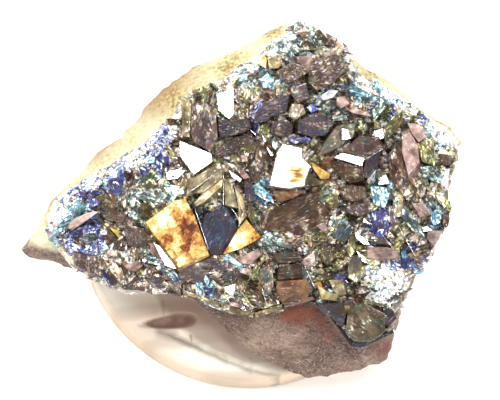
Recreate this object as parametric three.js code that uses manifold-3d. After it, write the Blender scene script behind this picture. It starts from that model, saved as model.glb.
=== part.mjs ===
// Lazulite crystals on host rock, seated on a round cork pad.
// Millimetres, +Z up. The origin is the centre of the pad's flat underside.
//
// The specimen is laid out in the frame of its crystal face: u runs to the right along the
// face, v runs up it, and w points out of it. The face leans a little towards the front.

import * as THREE from "three";
import Module from "manifold-3d";

// ---------------------------------------------------------------- driving sizes

const PAD_RADIUS = 11.0;
const PAD_THICKNESS = 4.5;
const PAD_EDGE_BEVEL = 0.35;
const PAD_SEGMENTS = 48;

const FACE_LEAN_DEG = 10;
const FACE_CENTRE = new THREE.Vector3(0.1, -0.45, 10.0);

const CRUST_GAP = 0.3;
const CRUST_EDGE_THICKNESS = 0.75;
const CRUST_DOME = 0.55;
const CRYSTAL_FLARE_HEIGHT = 4.2;
const FILLER_COUNT = 84;
const FILLER_TRIES = 14;
const FILLER_SEED = 41;

const ROCK_SEGMENTS = 60;
const ROCK_LUMP = 0.34;
const SEAT_SHRINK = 0.74;

// ---------------------------------------------------------------- outlines on the face

// Edge of the crystal crust, anticlockwise from the right-hand tip.
const CRUST_EDGE = [
  [13.3, 3.6], [12.7, 4.4], [11.4, 5.2], [10.2, 6.3], [9.0, 7.0], [7.6, 7.5], [6.5, 8.2],
  [6.1, 9.6], [5.2, 10.15], [4.1, 10.75], [3.0, 10.8], [1.7, 10.0], [0.5, 9.1], [-0.8, 8.2],
  [-2.1, 7.4], [-4.2, 6.5], [-5.0, 5.1], [-6.1, 4.2], [-7.2, 3.3], [-8.7, 2.1], [-10.1, 1.6],
  [-11.3, 0.9], [-12.5, 0.0], [-13.1, -1.6], [-12.0, -2.6], [-11.6, -4.2], [-10.4, -4.8],
  [-9.2, -5.2], [-7.9, -5.85], [-6.2, -5.8], [-4.9, -5.95], [-3.4, -6.6], [-2.0, -7.15],
  [-0.7, -7.3], [0.6, -7.1], [2.2, -6.8], [3.1, -8.1], [4.4, -8.4], [5.8, -8.7], [6.6, -9.35],
  [7.7, -9.0], [9.1, -8.3], [9.4, -7.3], [9.8, -6.3], [10.3, -5.0], [10.9, -4.1], [11.6, -3.1],
  [12.3, -2.1], [12.7, -1.1], [12.6, 0.3], [12.6, 1.6], [13.0, 2.7],
];

// Widest reach of the rock, seen square to the face, anticlockwise from the right-hand tip.
const ROCK_REACH = [
  [13.4, 3.7], [12.5, 4.7], [11.0, 5.6], [9.9, 6.6], [9.2, 7.3], [8.3, 7.8], [7.2, 8.5],
  [6.2, 9.0], [5.0, 10.0], [3.9, 10.8], [2.2, 10.95], [0.75, 10.45], [-0.7, 9.65], [-2.25, 9.0],
  [-3.75, 8.25], [-5.25, 7.15], [-6.25, 6.25], [-7.2, 4.8], [-8.4, 3.8], [-9.6, 2.95],
  [-10.75, 1.65], [-11.7, 0.5], [-12.6, -0.6], [-13.3, -1.9], [-14.55, -3.3], [-13.9, -3.7],
  [-12.6, -3.85], [-11.4, -4.3], [-10.2, -4.6], [-8.8, -5.2], [-7.2, -5.6], [-5.4, -5.6],
  [-3.7, -6.4], [-2.6, -7.4], [-1.6, -8.15], [-0.6, -9.15], [0.2, -9.7], [1.2, -10.2],
  [2.25, -10.7], [3.45, -11.25], [5.3, -11.05], [6.3, -10.95], [7.3, -10.65], [8.1, -10.35],
  [8.75, -10.1], [9.0, -9.3], [9.2, -8.4], [9.4, -7.3], [9.7, -6.4], [10.2, -5.4], [10.7, -4.3],
  [11.4, -3.2], [12.1, -2.2], [12.4, -1.2], [12.4, 0.2], [12.5, 1.6], [12.9, 2.7],
];

// ---------------------------------------------------------------- leading crystals

// Each is the outline of its leading facet on the face, how high that facet stands above the
// crust's underside (lift), and how it leans: to the right (leanU) and up the face (leanV).
const LEADING_CRYSTALS = [
  { name: "mauve slab", lift: 1.9, leanU: -0.2, leanV: 0.25,
    facet: [[-11.4, -1.75], [-11.1, -1.25], [-10.2, -0.8], [-9.4, -0.7], [-10.0, -1.15], [-11.1, -1.9]] },
  { name: "left blue", lift: 1.6, leanU: -0.1, leanV: -0.35,
    facet: [[-11.1, -1.95], [-10.2, -1.5], [-9.4, -1.75], [-9.6, -2.3], [-10.5, -2.5]] },
  { name: "left bright blue", lift: 1.5, leanU: 0.1, leanV: -0.4,
    facet: [[-10.3, -2.8], [-9.7, -2.55], [-9.0, -2.75], [-8.8, -3.05], [-9.5, -3.45], [-10.2, -3.3]] },
  { name: "upper left purple", lift: 1.3, leanU: -0.25, leanV: 0.3,
    facet: [[-9.1, 1.3], [-8.7, 1.6], [-8.0, 1.2], [-7.9, 0.5], [-8.4, 0.2], [-8.8, 0.7]] },
  { name: "left ridge", lift: 2.0, leanU: -0.3, leanV: -0.1,
    facet: [[-9.3, -0.8], [-8.9, -0.4], [-7.7, -0.9], [-7.9, -1.4], [-9.0, -1.3]] },
  { name: "low red block", lift: 1.3, leanU: -0.1, leanV: -0.5,
    facet: [[-11.0, -3.2], [-10.0, -3.4], [-9.0, -3.7], [-9.3, -4.9], [-10.2, -4.7], [-11.2, -4.2]] },
  { name: "low mauve slab", lift: 1.5, leanU: 0.1, leanV: -0.4,
    facet: [[-7.8, -5.6], [-7.2, -4.8], [-5.4, -4.9], [-5.3, -5.6], [-6.6, -5.8]] },
  { name: "left grey block", lift: 1.9, leanU: 0.2, leanV: -0.2,
    facet: [[-7.9, -1.9], [-6.9, -1.7], [-6.2, -2.2], [-6.5, -3.0], [-7.5, -2.9]] },
  { name: "white mirror", lift: 2.9, leanU: 0.02, leanV: 0.05,
    facet: [[-4.4, 3.7], [-2.4, 2.9], [-2.3, 2.4], [-3.5, 1.55], [-4.4, 2.75]] },
  { name: "white ledge", lift: 2.2, leanU: 0.0, leanV: 0.06,
    facet: [[-5.25, 1.75], [-4.4, 1.95], [-4.0, 1.85], [-4.5, 1.3], [-5.2, 1.25]] },
  { name: "tall dark crystal", lift: 3.2, leanU: 0.3, leanV: -0.15,
    facet: [[-3.7, 6.1], [-2.7, 6.0], [-2.1, 5.3], [-2.0, 3.9], [-2.5, 3.0], [-3.5, 3.6], [-3.8, 4.2]] },
  { name: "yellow white lens", lift: 2.5, leanU: -0.04, leanV: 0.02,
    facet: [[-2.1, 6.6], [-1.0, 7.0], [-1.0, 5.3], [-1.3, 5.0], [-2.0, 5.6]] },
  { name: "dark block", lift: 2.2, leanU: 0.2, leanV: -0.35,
    facet: [[-2.0, 5.2], [-1.3, 4.95], [-0.1, 5.1], [0.1, 4.5], [-0.6, 4.0], [-1.9, 3.9]] },
  { name: "dark red wedge", lift: 2.1, leanU: 0.25, leanV: -0.4,
    facet: [[-2.1, 3.3], [-0.9, 3.3], [-0.6, 2.7], [-1.5, 2.4], [-2.2, 2.7]] },
  { name: "clear prism left", lift: 3.0, leanU: -0.35, leanV: 0.25,
    facet: [[-3.9, 0.4], [-3.7, 1.4], [-2.9, 1.9], [-1.8, 2.0], [-1.6, 1.5], [-3.4, -0.1]] },
  { name: "clear prism right", lift: 2.9, leanU: 0.35, leanV: 0.1,
    facet: [[-1.65, 1.9], [-0.5, 0.1], [-0.4, -0.6], [-1.2, -1.0], [-1.7, -0.3]] },
  { name: "amber block", lift: 3.1, leanU: -0.06, leanV: -0.06,
    facet: [[-6.3, -1.3], [-5.0, -0.1], [-4.1, 0.05], [-3.55, -0.85], [-3.0, -2.0], [-2.55, -3.45],
      [-4.35, -4.2], [-5.9, -2.3]] },
  { name: "white sliver", lift: 2.0, leanU: -0.05, leanV: -0.02,
    facet: [[-6.05, -2.6], [-5.6, -2.9], [-4.65, -3.9], [-4.6, -4.35], [-5.3, -4.1]] },
  { name: "dark window", lift: 2.4, leanU: 0.15, leanV: -0.25,
    facet: [[-2.6, -0.8], [-1.6, -0.4], [-0.8, -1.8], [-1.5, -2.9], [-1.8, -3.5], [-2.5, -3.3], [-3.0, -1.7]] },
  { name: "amber wedge", lift: 2.8, leanU: 0.08, leanV: 0.05,
    facet: [[-0.3, -1.1], [0.75, -2.35], [-1.0, -3.3], [-1.75, -3.55], [-0.9, -1.8]] },
  { name: "dark apron", lift: 1.8, leanU: 0.0, leanV: -0.45,
    facet: [[-4.4, -4.3], [-2.5, -3.6], [-1.6, -3.7], [-1.5, -4.6], [-3.0, -5.4], [-4.6, -5.2]] },
  { name: "rose lens", lift: 2.2, leanU: 0.1, leanV: -0.3,
    facet: [[-0.9, -3.7], [0.5, -3.0], [0.7, -3.4], [0.1, -4.0], [-0.6, -4.0]] },
  { name: "white chip", lift: 1.9, leanU: -0.05, leanV: 0.0,
    facet: [[-1.6, -5.4], [-0.9, -5.2], [-0.9, -5.6], [-1.1, -6.0], [-1.6, -5.7]] },
  { name: "top diamond", lift: 2.7, leanU: -0.1, leanV: 0.3,
    facet: [[1.6, 8.0], [2.6, 8.6], [3.9, 8.1], [3.0, 7.6], [2.4, 7.3]] },
  { name: "top lens", lift: 2.9, leanU: 0.25, leanV: -0.2,
    facet: [[3.8, 8.6], [5.3, 9.1], [5.9, 8.9], [5.9, 8.0], [5.0, 7.2], [4.2, 6.8], [3.6, 7.4]] },
  { name: "upper purple", lift: 2.4, leanU: 0.2, leanV: -0.3,
    facet: [[0.3, 5.4], [0.9, 6.1], [2.5, 6.6], [2.3, 5.6], [1.0, 4.9], [0.3, 4.8]] },
  { name: "lavender chip", lift: 2.6, leanU: -0.1, leanV: 0.1,
    facet: [[5.4, 6.4], [5.9, 6.5], [6.2, 6.0], [5.7, 5.7], [5.4, 5.9]] },
  { name: "big white mirror", lift: 3.3, leanU: 0.0, leanV: 0.04,
    facet: [[2.0, 3.45], [3.2, 3.25], [3.8, 2.2], [3.5, 0.9], [3.0, 0.7], [1.2, 0.9], [1.65, 2.9]] },
  { name: "amber chip", lift: 2.5, leanU: 0.3, leanV: 0.15,
    facet: [[3.8, 2.4], [5.0, 1.6], [4.9, 1.3], [4.4, 1.3], [3.9, 2.0]] },
  { name: "middle dark plate", lift: 2.3, leanU: 0.1, leanV: -0.35,
    facet: [[1.2, -0.8], [3.9, 0.5], [4.8, -0.3], [4.6, -1.6], [3.5, -2.2], [1.2, -1.7]] },
  { name: "olive plate", lift: 2.4, leanU: 0.25, leanV: -0.2,
    facet: [[4.2, 0.3], [5.4, 0.4], [5.6, -0.3], [5.2, -0.7], [4.6, -0.3]] },
  { name: "white bar", lift: 3.1, leanU: 0.02, leanV: 0.06,
    facet: [[5.2, 2.65], [5.7, 2.95], [7.15, 2.6], [7.0, 2.1]] },
  { name: "red upper face", lift: 2.9, leanU: -0.25, leanV: 0.45,
    facet: [[5.7, 3.0], [6.8, 4.0], [8.0, 3.9], [8.3, 3.2], [7.2, 2.65]] },
  { name: "red lower face", lift: 2.7, leanU: 0.1, leanV: -0.5,
    facet: [[5.1, 2.5], [7.0, 2.05], [7.1, 1.2], [6.2, 1.0], [5.2, 1.8]] },
  { name: "red side face", lift: 2.7, leanU: 0.5, leanV: -0.1,
    facet: [[7.2, 2.6], [8.2, 3.1], [8.0, 2.2], [7.4, 1.3], [7.0, 1.5]] },
  { name: "cyan plate", lift: 2.1, leanU: -0.1, leanV: -0.2,
    facet: [[7.5, 0.9], [8.5, 0.8], [8.7, 0.2], [8.4, -0.5], [7.7, -0.3]] },
  { name: "royal blue plate", lift: 1.9, leanU: -0.2, leanV: -0.3,
    facet: [[7.6, -0.8], [8.3, -0.6], [8.7, -1.6], [8.6, -2.3], [7.5, -2.0]] },
  { name: "green crystal", lift: 2.7, leanU: -0.3, leanV: 0.0,
    facet: [[6.4, -3.5], [6.9, -3.6], [7.1, -4.6], [6.6, -5.2], [6.1, -4.8], [6.1, -4.0]] },
  { name: "olive crystal", lift: 2.3, leanU: -0.2, leanV: 0.2,
    facet: [[4.4, -3.0], [5.0, -2.9], [5.3, -3.6], [4.8, -4.1], [4.4, -3.6]] },
  { name: "grey blue plate", lift: 2.1, leanU: -0.15, leanV: 0.2,
    facet: [[5.1, -1.2], [6.0, -1.1], [6.5, -1.8], [5.9, -2.7], [5.2, -2.2]] },
  { name: "brown crystal", lift: 2.3, leanU: -0.1, leanV: -0.35,
    facet: [[1.8, -4.2], [3.2, -4.0], [3.9, -5.5], [3.4, -6.4], [2.0, -6.5], [1.6, -5.6]] },
  { name: "mauve prism", lift: 2.2, leanU: 0.2, leanV: -0.15,
    facet: [[0.6, -4.3], [1.4, -4.0], [1.5, -5.4], [1.2, -5.9], [0.7, -5.4]] },
  { name: "big olive crystal", lift: 2.6, leanU: 0.1, leanV: -0.25,
    facet: [[6.1, -6.8], [7.1, -6.4], [8.4, -7.1], [8.4, -8.2], [7.6, -8.8], [6.5, -8.8], [6.0, -8.2]] },
  { name: "red plate", lift: 2.2, leanU: 0.05, leanV: -0.3,
    facet: [[7.3, -2.9], [8.4, -2.7], [9.2, -3.1], [9.4, -3.6], [8.2, -3.8], [7.3, -3.6]] },
  { name: "mauve lens", lift: 3.0, leanU: 0.3, leanV: 0.1,
    facet: [[9.5, 4.0], [9.95, 4.25], [10.45, 3.4], [10.55, 2.3], [9.85, 1.5], [9.45, 3.0]] },
  { name: "mauve cap", lift: 2.6, leanU: 0.35, leanV: 0.25,
    facet: [[9.8, 4.8], [10.6, 4.7], [10.95, 3.9], [10.5, 3.6], [10.1, 4.1]] },
  { name: "olive block", lift: 2.4, leanU: 0.4, leanV: 0.0,
    facet: [[10.4, 3.5], [11.4, 3.9], [11.6, 2.6], [11.5, 2.1], [10.7, 2.4]] },
  { name: "dark column", lift: 2.5, leanU: -0.45, leanV: 0.0,
    facet: [[8.6, 2.8], [9.5, 3.8], [9.5, 2.5], [9.9, 1.4], [9.2, 0.6], [8.7, 1.4]] },
  { name: "right tip crystal", lift: 1.6, leanU: 0.3, leanV: 0.2,
    facet: [[11.8, 2.9], [12.9, 2.9], [13.0, 2.5], [12.5, 2.1], [12.0, 2.3]] },
  { name: "teal block", lift: 2.1, leanU: 0.3, leanV: -0.25,
    facet: [[10.6, 2.1], [11.6, 2.1], [12.0, 1.6], [11.9, 1.0], [10.8, 1.4]] },
  { name: "olive blade", lift: 2.0, leanU: 0.35, leanV: 0.2,
    facet: [[10.8, 0.95], [11.1, 0.9], [12.5, -0.1], [12.6, -0.75], [12.2, -0.6]] },
  { name: "green blade", lift: 2.3, leanU: 0.2, leanV: 0.2,
    facet: [[8.8, 0.4], [9.4, 0.0], [10.7, -1.7], [10.9, -2.4], [10.1, -1.9], [9.2, -0.8]] },
  { name: "lower right wedge", lift: 1.5, leanU: 0.4, leanV: -0.3,
    facet: [[10.4, -3.7], [11.5, -3.0], [11.3, -3.6], [10.9, -3.9]] },
];

// ---------------------------------------------------------------- helpers

const lean = THREE.MathUtils.degToRad(FACE_LEAN_DEG);

function faceToPart(u, v, w) {
  return new THREE.Vector3(
    FACE_CENTRE.x + u,
    FACE_CENTRE.y + v * Math.cos(lean) - w * Math.sin(lean),
    FACE_CENTRE.z + v * Math.sin(lean) + w * Math.cos(lean),
  );
}

// Repeatable numbers from 0 to 1, mixed so that neighbours in the series are unalike.
function seededRandom(seed) {
  let state = seed >>> 0;
  return () => {
    state = (state + 0x6d2b79f5) >>> 0;
    let mixed = Math.imul(state ^ (state >>> 15), 1 | state);
    mixed = (mixed + Math.imul(mixed ^ (mixed >>> 7), 61 | mixed)) ^ mixed;
    return ((mixed ^ (mixed >>> 14)) >>> 0) / 4294967296;
  };
}

// A closed solid through rings of equal length, bottom ring first, each anticlockwise from
// outside its top. The two end rings are closed by fans from their middle.
function loft(rings) {
  const count = rings[0].length;
  const positions = rings.flat().flatMap((point) => [point.x, point.y, point.z]);
  const index = [];
  for (let level = 0; level + 1 < rings.length; level += 1) {
    for (let i = 0; i < count; i += 1) {
      const a = level * count + i;
      const b = level * count + (i + 1) % count;
      index.push(a, b, b + count, a, b + count, a + count);
    }
  }
  [0, rings.length - 1].forEach((level) => {
    const middle = new THREE.Vector3();
    rings[level].forEach((point) => middle.addScaledVector(point, 1 / count));
    const centre = positions.length / 3;
    positions.push(middle.x, middle.y, middle.z);
    for (let i = 0; i < count; i += 1) {
      const a = level * count + i;
      const b = level * count + (i + 1) % count;
      index.push(...(level === 0 ? [centre, b, a] : [centre, a, b]));
    }
  });
  const geometry = new THREE.BufferGeometry();
  geometry.setAttribute("position", new THREE.Float32BufferAttribute(positions, 3));
  geometry.setIndex(index);
  return geometry;
}

// Distance from (0, 0) to the outline in the direction of an angle.
function reachOf(outline, angle) {
  const dx = Math.cos(angle);
  const dy = Math.sin(angle);
  let reach = 0;
  outline.forEach(([ax, ay], i) => {
    const [bx, by] = outline[(i + 1) % outline.length];
    const cross = dx * (by - ay) - dy * (bx - ax);
    const along = (ax * (by - ay) - ay * (bx - ax)) / cross;
    const share = (ax * dy - ay * dx) / cross;
    if (share >= 0 && share <= 1 && along > reach) reach = along;
  });
  return reach;
}

function isInside(outline, x, y) {
  return Math.hypot(x, y) < reachOf(outline, Math.atan2(y, x));
}

// ---------------------------------------------------------------- booleans

const wasm = await Module();
wasm.setup();

function toSolid(geometry) {
  return new wasm.Manifold(new wasm.Mesh({
    numProp: 3,
    vertProperties: new Float32Array(geometry.attributes.position.array),
    triVerts: new Uint32Array(geometry.index.array),
  }));
}

function toGeometry(solid) {
  const mesh = solid.getMesh();
  const geometry = new THREE.BufferGeometry();
  geometry.setAttribute("position", new THREE.BufferAttribute(mesh.vertProperties, 3));
  geometry.setIndex(new THREE.BufferAttribute(mesh.triVerts, 1));
  geometry.computeVertexNormals();
  return geometry;
}

// The outermost shell of a solid, with the small voids sealed between crystals filled in.
function largestShell(solid) {
  return solid.decompose().reduce((best, shell) => (shell.volume() > best.volume() ? shell : best));
}

// ---------------------------------------------------------------- crystal crust

// Height of the crust's ground between the crystals, domed towards the middle.
function crustGround(u, v) {
  const fromMiddle = Math.min(1, Math.hypot(u / 13, v / 9));
  return CRUST_EDGE_THICKNESS + CRUST_DOME * (1 - fromMiddle ** 2);
}

function ringOnFace(outline, scale, heightAt) {
  return outline.map(([u, v]) => faceToPart(u * scale, v * scale, heightAt(u * scale, v * scale)));
}

function crustGroundSlab() {
  const underside = () => CRUST_GAP;
  const edge = () => CRUST_GAP + 0.35;
  const ground = (u, v) => CRUST_GAP + crustGround(u, v);
  return loft([
    ringOnFace(CRUST_EDGE, 0.955, underside),
    ringOnFace(CRUST_EDGE, 0.99, edge),
    ringOnFace(CRUST_EDGE, 0.93, ground),
    ringOnFace(CRUST_EDGE, 0.5, ground),
  ]);
}

// A crystal that opens downwards from its leading facet: the lower ring is the facet enlarged
// from a point above it, so that every side face is flat.
function leadingCrystal({ lift, leanU, leanV, facet }) {
  const [middleU, middleV] = middleOf(facet);
  const top = facet.map(([u, v]) => [u, v, lift - leanU * (u - middleU) - leanV * (v - middleV)]);
  const apex = lift + CRYSTAL_FLARE_HEIGHT;
  const drop = (apex - CRUST_GAP) / CRYSTAL_FLARE_HEIGHT;
  const foot = top.map(([u, v, w]) => [
    middleU + (u - middleU) * drop,
    middleV + (v - middleV) * drop,
    Math.max(CRUST_GAP + 0.05, apex + (w - apex) * drop),
  ]);
  const level = (ring) => ring.map(([u, v, w]) => faceToPart(u, v, w)).reverse();
  return loft([level(foot), level(top)]);
}

// A free spot on the crust: of several tries, the one furthest from the crystals already there.
function freeSpot(random, taken) {
  let best = null;
  let bestDistance = -1;
  for (let i = 0; i < FILLER_TRIES; i += 1) {
    const u = -13 + 26 * random();
    const v = -9 + 19.5 * random();
    if (!isInside(CRUST_EDGE, u * 1.07, v * 1.1)) continue;
    const distance = Math.min(...taken.map(([a, b]) => Math.hypot(a - u, b - v)));
    if (distance > bestDistance) {
      best = [u, v];
      bestDistance = distance;
    }
  }
  return best;
}

// A four-sided crystal with a blunt point, leaning out of the crust, and less so near its edge.
function fillerCrystal(random, [u, v]) {
  const turn = Math.PI * 2 * random();
  const towardsEdge = Math.hypot(u, v) / reachOf(CRUST_EDGE, Math.atan2(v, u));
  const tilt = THREE.MathUtils.degToRad((12 + 48 * random()) * (1 - 0.8 * towardsEdge ** 5));
  const length = 1.5 + 1.2 * random();
  const half = 0.6 + 0.45 * random();
  const slim = 0.55 + 0.4 * random();
  const point = 0.25 + 0.5 * random();
  const twist = Math.PI * random();
  const corners = [[1, 0], [0, slim], [-1, 0], [0, -slim]];
  const axis = new THREE.Vector3().setFromSphericalCoords(1, tilt, turn);
  axis.set(axis.x, axis.z, axis.y);
  const side = new THREE.Vector3(0, 0, 1).cross(axis).normalize();
  const across = axis.clone().cross(side);
  const ring = (along, size) => corners.map(([a, b]) => {
    const p = (a * Math.cos(twist) - b * Math.sin(twist)) * half * size;
    const q = (a * Math.sin(twist) + b * Math.cos(twist)) * half * size;
    const at = side.clone().multiplyScalar(p).addScaledVector(across, q);
    at.addScaledVector(axis, along);
    return faceToPart(u + at.x, v + at.y, CRUST_GAP + Math.max(0.05, 0.4 + at.z));
  });
  return loft([ring(0, 1), ring(length * 0.62, 1), ring(length, point)]);
}

function middleOf(outline) {
  const sum = outline.reduce(([a, b], [u, v]) => [a + u, b + v], [0, 0]);
  return sum.map((value) => value / outline.length);
}

function crystalCrust() {
  const random = seededRandom(FILLER_SEED);
  const taken = LEADING_CRYSTALS.map(({ facet }) => middleOf(facet));
  let crust = toSolid(crustGroundSlab());
  LEADING_CRYSTALS.forEach((crystal) => {
    crust = crust.add(toSolid(leadingCrystal(crystal)));
  });
  for (let i = 0; i < FILLER_COUNT; i += 1) {
    const spot = freeSpot(random, taken);
    taken.push(spot);
    crust = crust.add(toSolid(fillerCrystal(random, spot)));
  }
  return toGeometry(largestShell(crust));
}

// ---------------------------------------------------------------- host rock

function lump(angle, level) {
  return Math.sin(angle * 3 + level * 1.7) * 0.45
    + Math.sin(angle * 7 + level * 3.1 + 1.2) * 0.35
    + Math.sin(angle * 13 - level * 2.3 + 0.5) * 0.2;
}

// From the seat on the pad, out under the belly, to the flank's widest reach and in to the crust.
function hostRock() {
  const levels = [
    { share: 0.0, depth: 1.0, seat: 1.0 },
    { share: 0.3, depth: 0.86, seat: 0.7 },
    { share: 0.75, depth: 0.68, seat: 0.25 },
    { share: 1.0, depth: 0.45, seat: 0.0 },
    { share: 0.85, depth: 0.22, seat: 0.0 },
    { share: 0.0, depth: 0.0, seat: 0.0 },
  ];
  const rings = levels.map(({ share, depth, seat }, level) => {
    const ring = [];
    for (let i = 0; i < ROCK_SEGMENTS; i += 1) {
      const angle = (i / ROCK_SEGMENTS) * Math.PI * 2;
      const wide = reachOf(ROCK_REACH, angle);
      const inner = Math.min(reachOf(CRUST_EDGE, angle), wide) - 0.25;
      const atTop = share * wide + (1 - share) * inner;
      const reach = (1 - seat) * atTop + seat * SEAT_SHRINK * wide;
      const rough = level === 0 || level === levels.length - 1 ? 0 : ROCK_LUMP * lump(angle, level);
      const out = reach - Math.abs(rough);
      const top = faceToPart(out * Math.cos(angle), out * Math.sin(angle), 0);
      const drop = (top.z - PAD_THICKNESS) * depth;
      ring.push(new THREE.Vector3(top.x, top.y, depth === 1 ? PAD_THICKNESS : top.z - drop));
    }
    return ring;
  });
  const geometry = loft(rings);
  geometry.computeVertexNormals();
  return geometry;
}

// ---------------------------------------------------------------- cork pad

function corkPad() {
  const profile = [
    new THREE.Vector2(0, 0),
    new THREE.Vector2(PAD_RADIUS - PAD_EDGE_BEVEL, 0),
    new THREE.Vector2(PAD_RADIUS, PAD_EDGE_BEVEL),
    new THREE.Vector2(PAD_RADIUS, PAD_THICKNESS - PAD_EDGE_BEVEL),
    new THREE.Vector2(PAD_RADIUS - PAD_EDGE_BEVEL, PAD_THICKNESS),
    new THREE.Vector2(0, PAD_THICKNESS),
  ];
  const geometry = new THREE.LatheGeometry(profile, PAD_SEGMENTS);
  geometry.rotateX(Math.PI / 2);
  return geometry;
}

// ---------------------------------------------------------------- assembly

const part = new THREE.Group();

function addPiece(name, geometry, colour, roughness) {
  const material = new THREE.MeshStandardMaterial({ color: colour, roughness, metalness: 0 });
  const mesh = new THREE.Mesh(geometry, material);
  mesh.name = name;
  part.add(mesh);
}

addPiece("crystal_crust", crystalCrust(), "#4a3b45", 0.12);
addPiece("host_rock", hostRock(), "#9a7a5c", 0.9);
addPiece("cork_pad", corkPad(), "#e2d3bf", 0.85);

export default part;
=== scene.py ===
# %% [markdown]
# # Lazulite crystals on host rock, seated on a cork pad
#
# The specimen is a crust of glassy crystals grown through each other, on a chunk of tan and
# brown rock that is seated on a slice of cork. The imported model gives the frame: where the
# crust, the rock and the pad are. This script keeps those places and builds finer surfaces
# over them, one piece at a time, with numpy for the shapes and nodes for the finishes.

# %% Load the frame
import math
from functools import partial, reduce

import bpy
import numpy as np
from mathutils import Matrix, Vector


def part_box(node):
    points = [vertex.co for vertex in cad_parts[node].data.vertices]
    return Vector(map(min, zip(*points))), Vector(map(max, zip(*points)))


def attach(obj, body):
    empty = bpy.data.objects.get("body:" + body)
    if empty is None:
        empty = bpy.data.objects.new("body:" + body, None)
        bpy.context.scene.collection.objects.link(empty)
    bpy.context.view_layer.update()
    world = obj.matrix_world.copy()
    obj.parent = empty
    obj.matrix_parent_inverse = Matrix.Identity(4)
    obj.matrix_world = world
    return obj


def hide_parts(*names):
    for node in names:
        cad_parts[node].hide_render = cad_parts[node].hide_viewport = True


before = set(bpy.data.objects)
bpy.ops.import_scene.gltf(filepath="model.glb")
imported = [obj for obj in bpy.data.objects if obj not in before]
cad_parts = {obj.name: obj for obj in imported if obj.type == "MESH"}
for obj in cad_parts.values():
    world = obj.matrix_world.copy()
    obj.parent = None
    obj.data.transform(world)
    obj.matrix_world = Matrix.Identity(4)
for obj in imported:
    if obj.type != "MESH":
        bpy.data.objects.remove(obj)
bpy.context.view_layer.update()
for node in sorted(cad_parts):
    low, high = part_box(node)
    print(f"{node}: {[round(side * 1000, 1) for side in high - low]} mm")

# %% [markdown]
# ## The frame of the crystal face
#
# The crystals are laid out on their own face: u runs to the right, v runs up the face and w
# points out of it, in millimetres. The face leans towards the front by a few degrees. The
# finished objects could be turned instead, but a mesh that already has its place keeps its
# patterns still, so one rotation and one shift take any point of the face to the part's frame.

# %% From the crystal face to the part
FACE_LEAN = math.radians(10)
FACE_CENTRE = np.array([0.1, -0.45, 10.0])
PAD_RADIUS = 11.0
PAD_THICKNESS = 4.5
CRUST_GAP = 0.3

FACE_AXES = np.array([
    [1, 0, 0],
    [0, math.cos(FACE_LEAN), math.sin(FACE_LEAN)],
    [0, -math.sin(FACE_LEAN), math.cos(FACE_LEAN)],
])


def face_to_part(points):
    """Part = centre + u * right + v * up the face + w * outward, for whole arrays of (u, v, w)."""
    return FACE_CENTRE + np.asarray(points, float) @ FACE_AXES


print("the face's outward axis is", np.round(FACE_AXES[2], 3))

# %% [markdown]
# ## Colours, lists and sizes
#
# Colours are written as sRGB hex, and one function turns them to the linear values that Blender
# mixes. Long lists of places are written as text, one word for each row, so that they stay
# short enough to read. The size of a pattern is given in millimetres.

# %% Colours, lists and sizes
MM = 0.001


def linear(hex_colour):
    """sRGB hex to linear: below 0.04045 divide by 12.92, else ((c + 0.055) / 1.055) ** 2.4."""
    codes = np.array([int(hex_colour[i:i + 2], 16) for i in (1, 3, 5)]) / 255
    values = np.where(codes <= 0.04045, codes / 12.92, ((codes + 0.055) / 1.055) ** 2.4)
    return (*values.tolist(), 1.0)


def table(text):
    """An array with a row for each word of the text: -1.5,2 is the row (-1.5, 2)."""
    return np.array([word.split(",") for word in text.split()], float)


def per(size):
    """The scale that makes the cells of a pattern so many millimetres wide."""
    return 1 / (size * MM)


print("middle grey is", round(linear("#808080")[0], 3), "in linear light")

# %% [markdown]
# ## Pieces
#
# Every shape arrives as numpy arrays in millimetres, and one function turns them into a mesh
# that rides on the part's root body. Crystals carry two more things, as attributes of the mesh:
# each point's place in its crystal's own axes, and a tone for each face. One material can then
# follow the growth of thousands of crystals, where Object coordinates alone would run straight
# through them all.

# %% Pieces
def add_piece(name, points, faces, material, node, smooth=False, growth=None, tone=None):
    """A mesh piece from points in millimetres, in the part's frame, that stands for a node."""
    mesh = bpy.data.meshes.new(name)
    mesh.from_pydata((np.asarray(points) * MM).tolist(), [], faces)
    mesh.materials.append(material)
    if growth is not None:
        mesh.attributes.new("growth", "FLOAT_VECTOR", "POINT").data.foreach_set("vector", growth.ravel())
        mesh.attributes.new("tone", "FLOAT", "FACE").data.foreach_set("value", tone)
    mesh.polygons.foreach_set("use_smooth", np.full(len(mesh.polygons), smooth))
    mesh.update()
    piece = bpy.data.objects.new(name, mesh)
    bpy.context.scene.collection.objects.link(piece)
    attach(piece, "root")
    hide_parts(node)
    print(f"{name}: {len(mesh.vertices)} points, {len(mesh.polygons)} faces")


# %% [markdown]
# ## Nodes
#
# A finish is a tree of nodes. One function adds a node of any kind: the values given in order go
# to its first inputs, and the named ones are settings, such as operation, or inputs, such as
# Scale. A value may be a number, a node or one output of a node, and the last two are linked.

# %% Nodes
def first_output(source):
    """A socket as it is, and for a node the first of its outputs that is in use."""
    if isinstance(source, bpy.types.NodeSocket):
        return source
    return next(socket for socket in source.outputs if socket.enabled)


def feed(node, inputs):
    """Gives the inputs of a node their values, and links those that come from a node."""
    for key, value in inputs.items():
        if isinstance(value, (bpy.types.Node, bpy.types.NodeSocket)):
            node.id_data.links.new(first_output(value), node.inputs[key])
        else:
            node.inputs[key].default_value = value


def add_node(tree, kind, *in_order, **named):
    """A shader node with its settings, its values and its links."""
    made = tree.nodes.new(f"ShaderNode{kind}")
    for setting in [name for name in named if hasattr(made, name)]:
        setattr(made, setting, named.pop(setting))
    feed(made, {**dict(enumerate(in_order)), **named})
    return made


print("a kind of node is named as in", bpy.types.ShaderNodeMath.__name__)

# %% [markdown]
# A new material starts with a Principled shader, which is fed by everything else. Colour ramps
# turn a value between 0 and 1 into a colour, and their stops are written as text.

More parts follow.
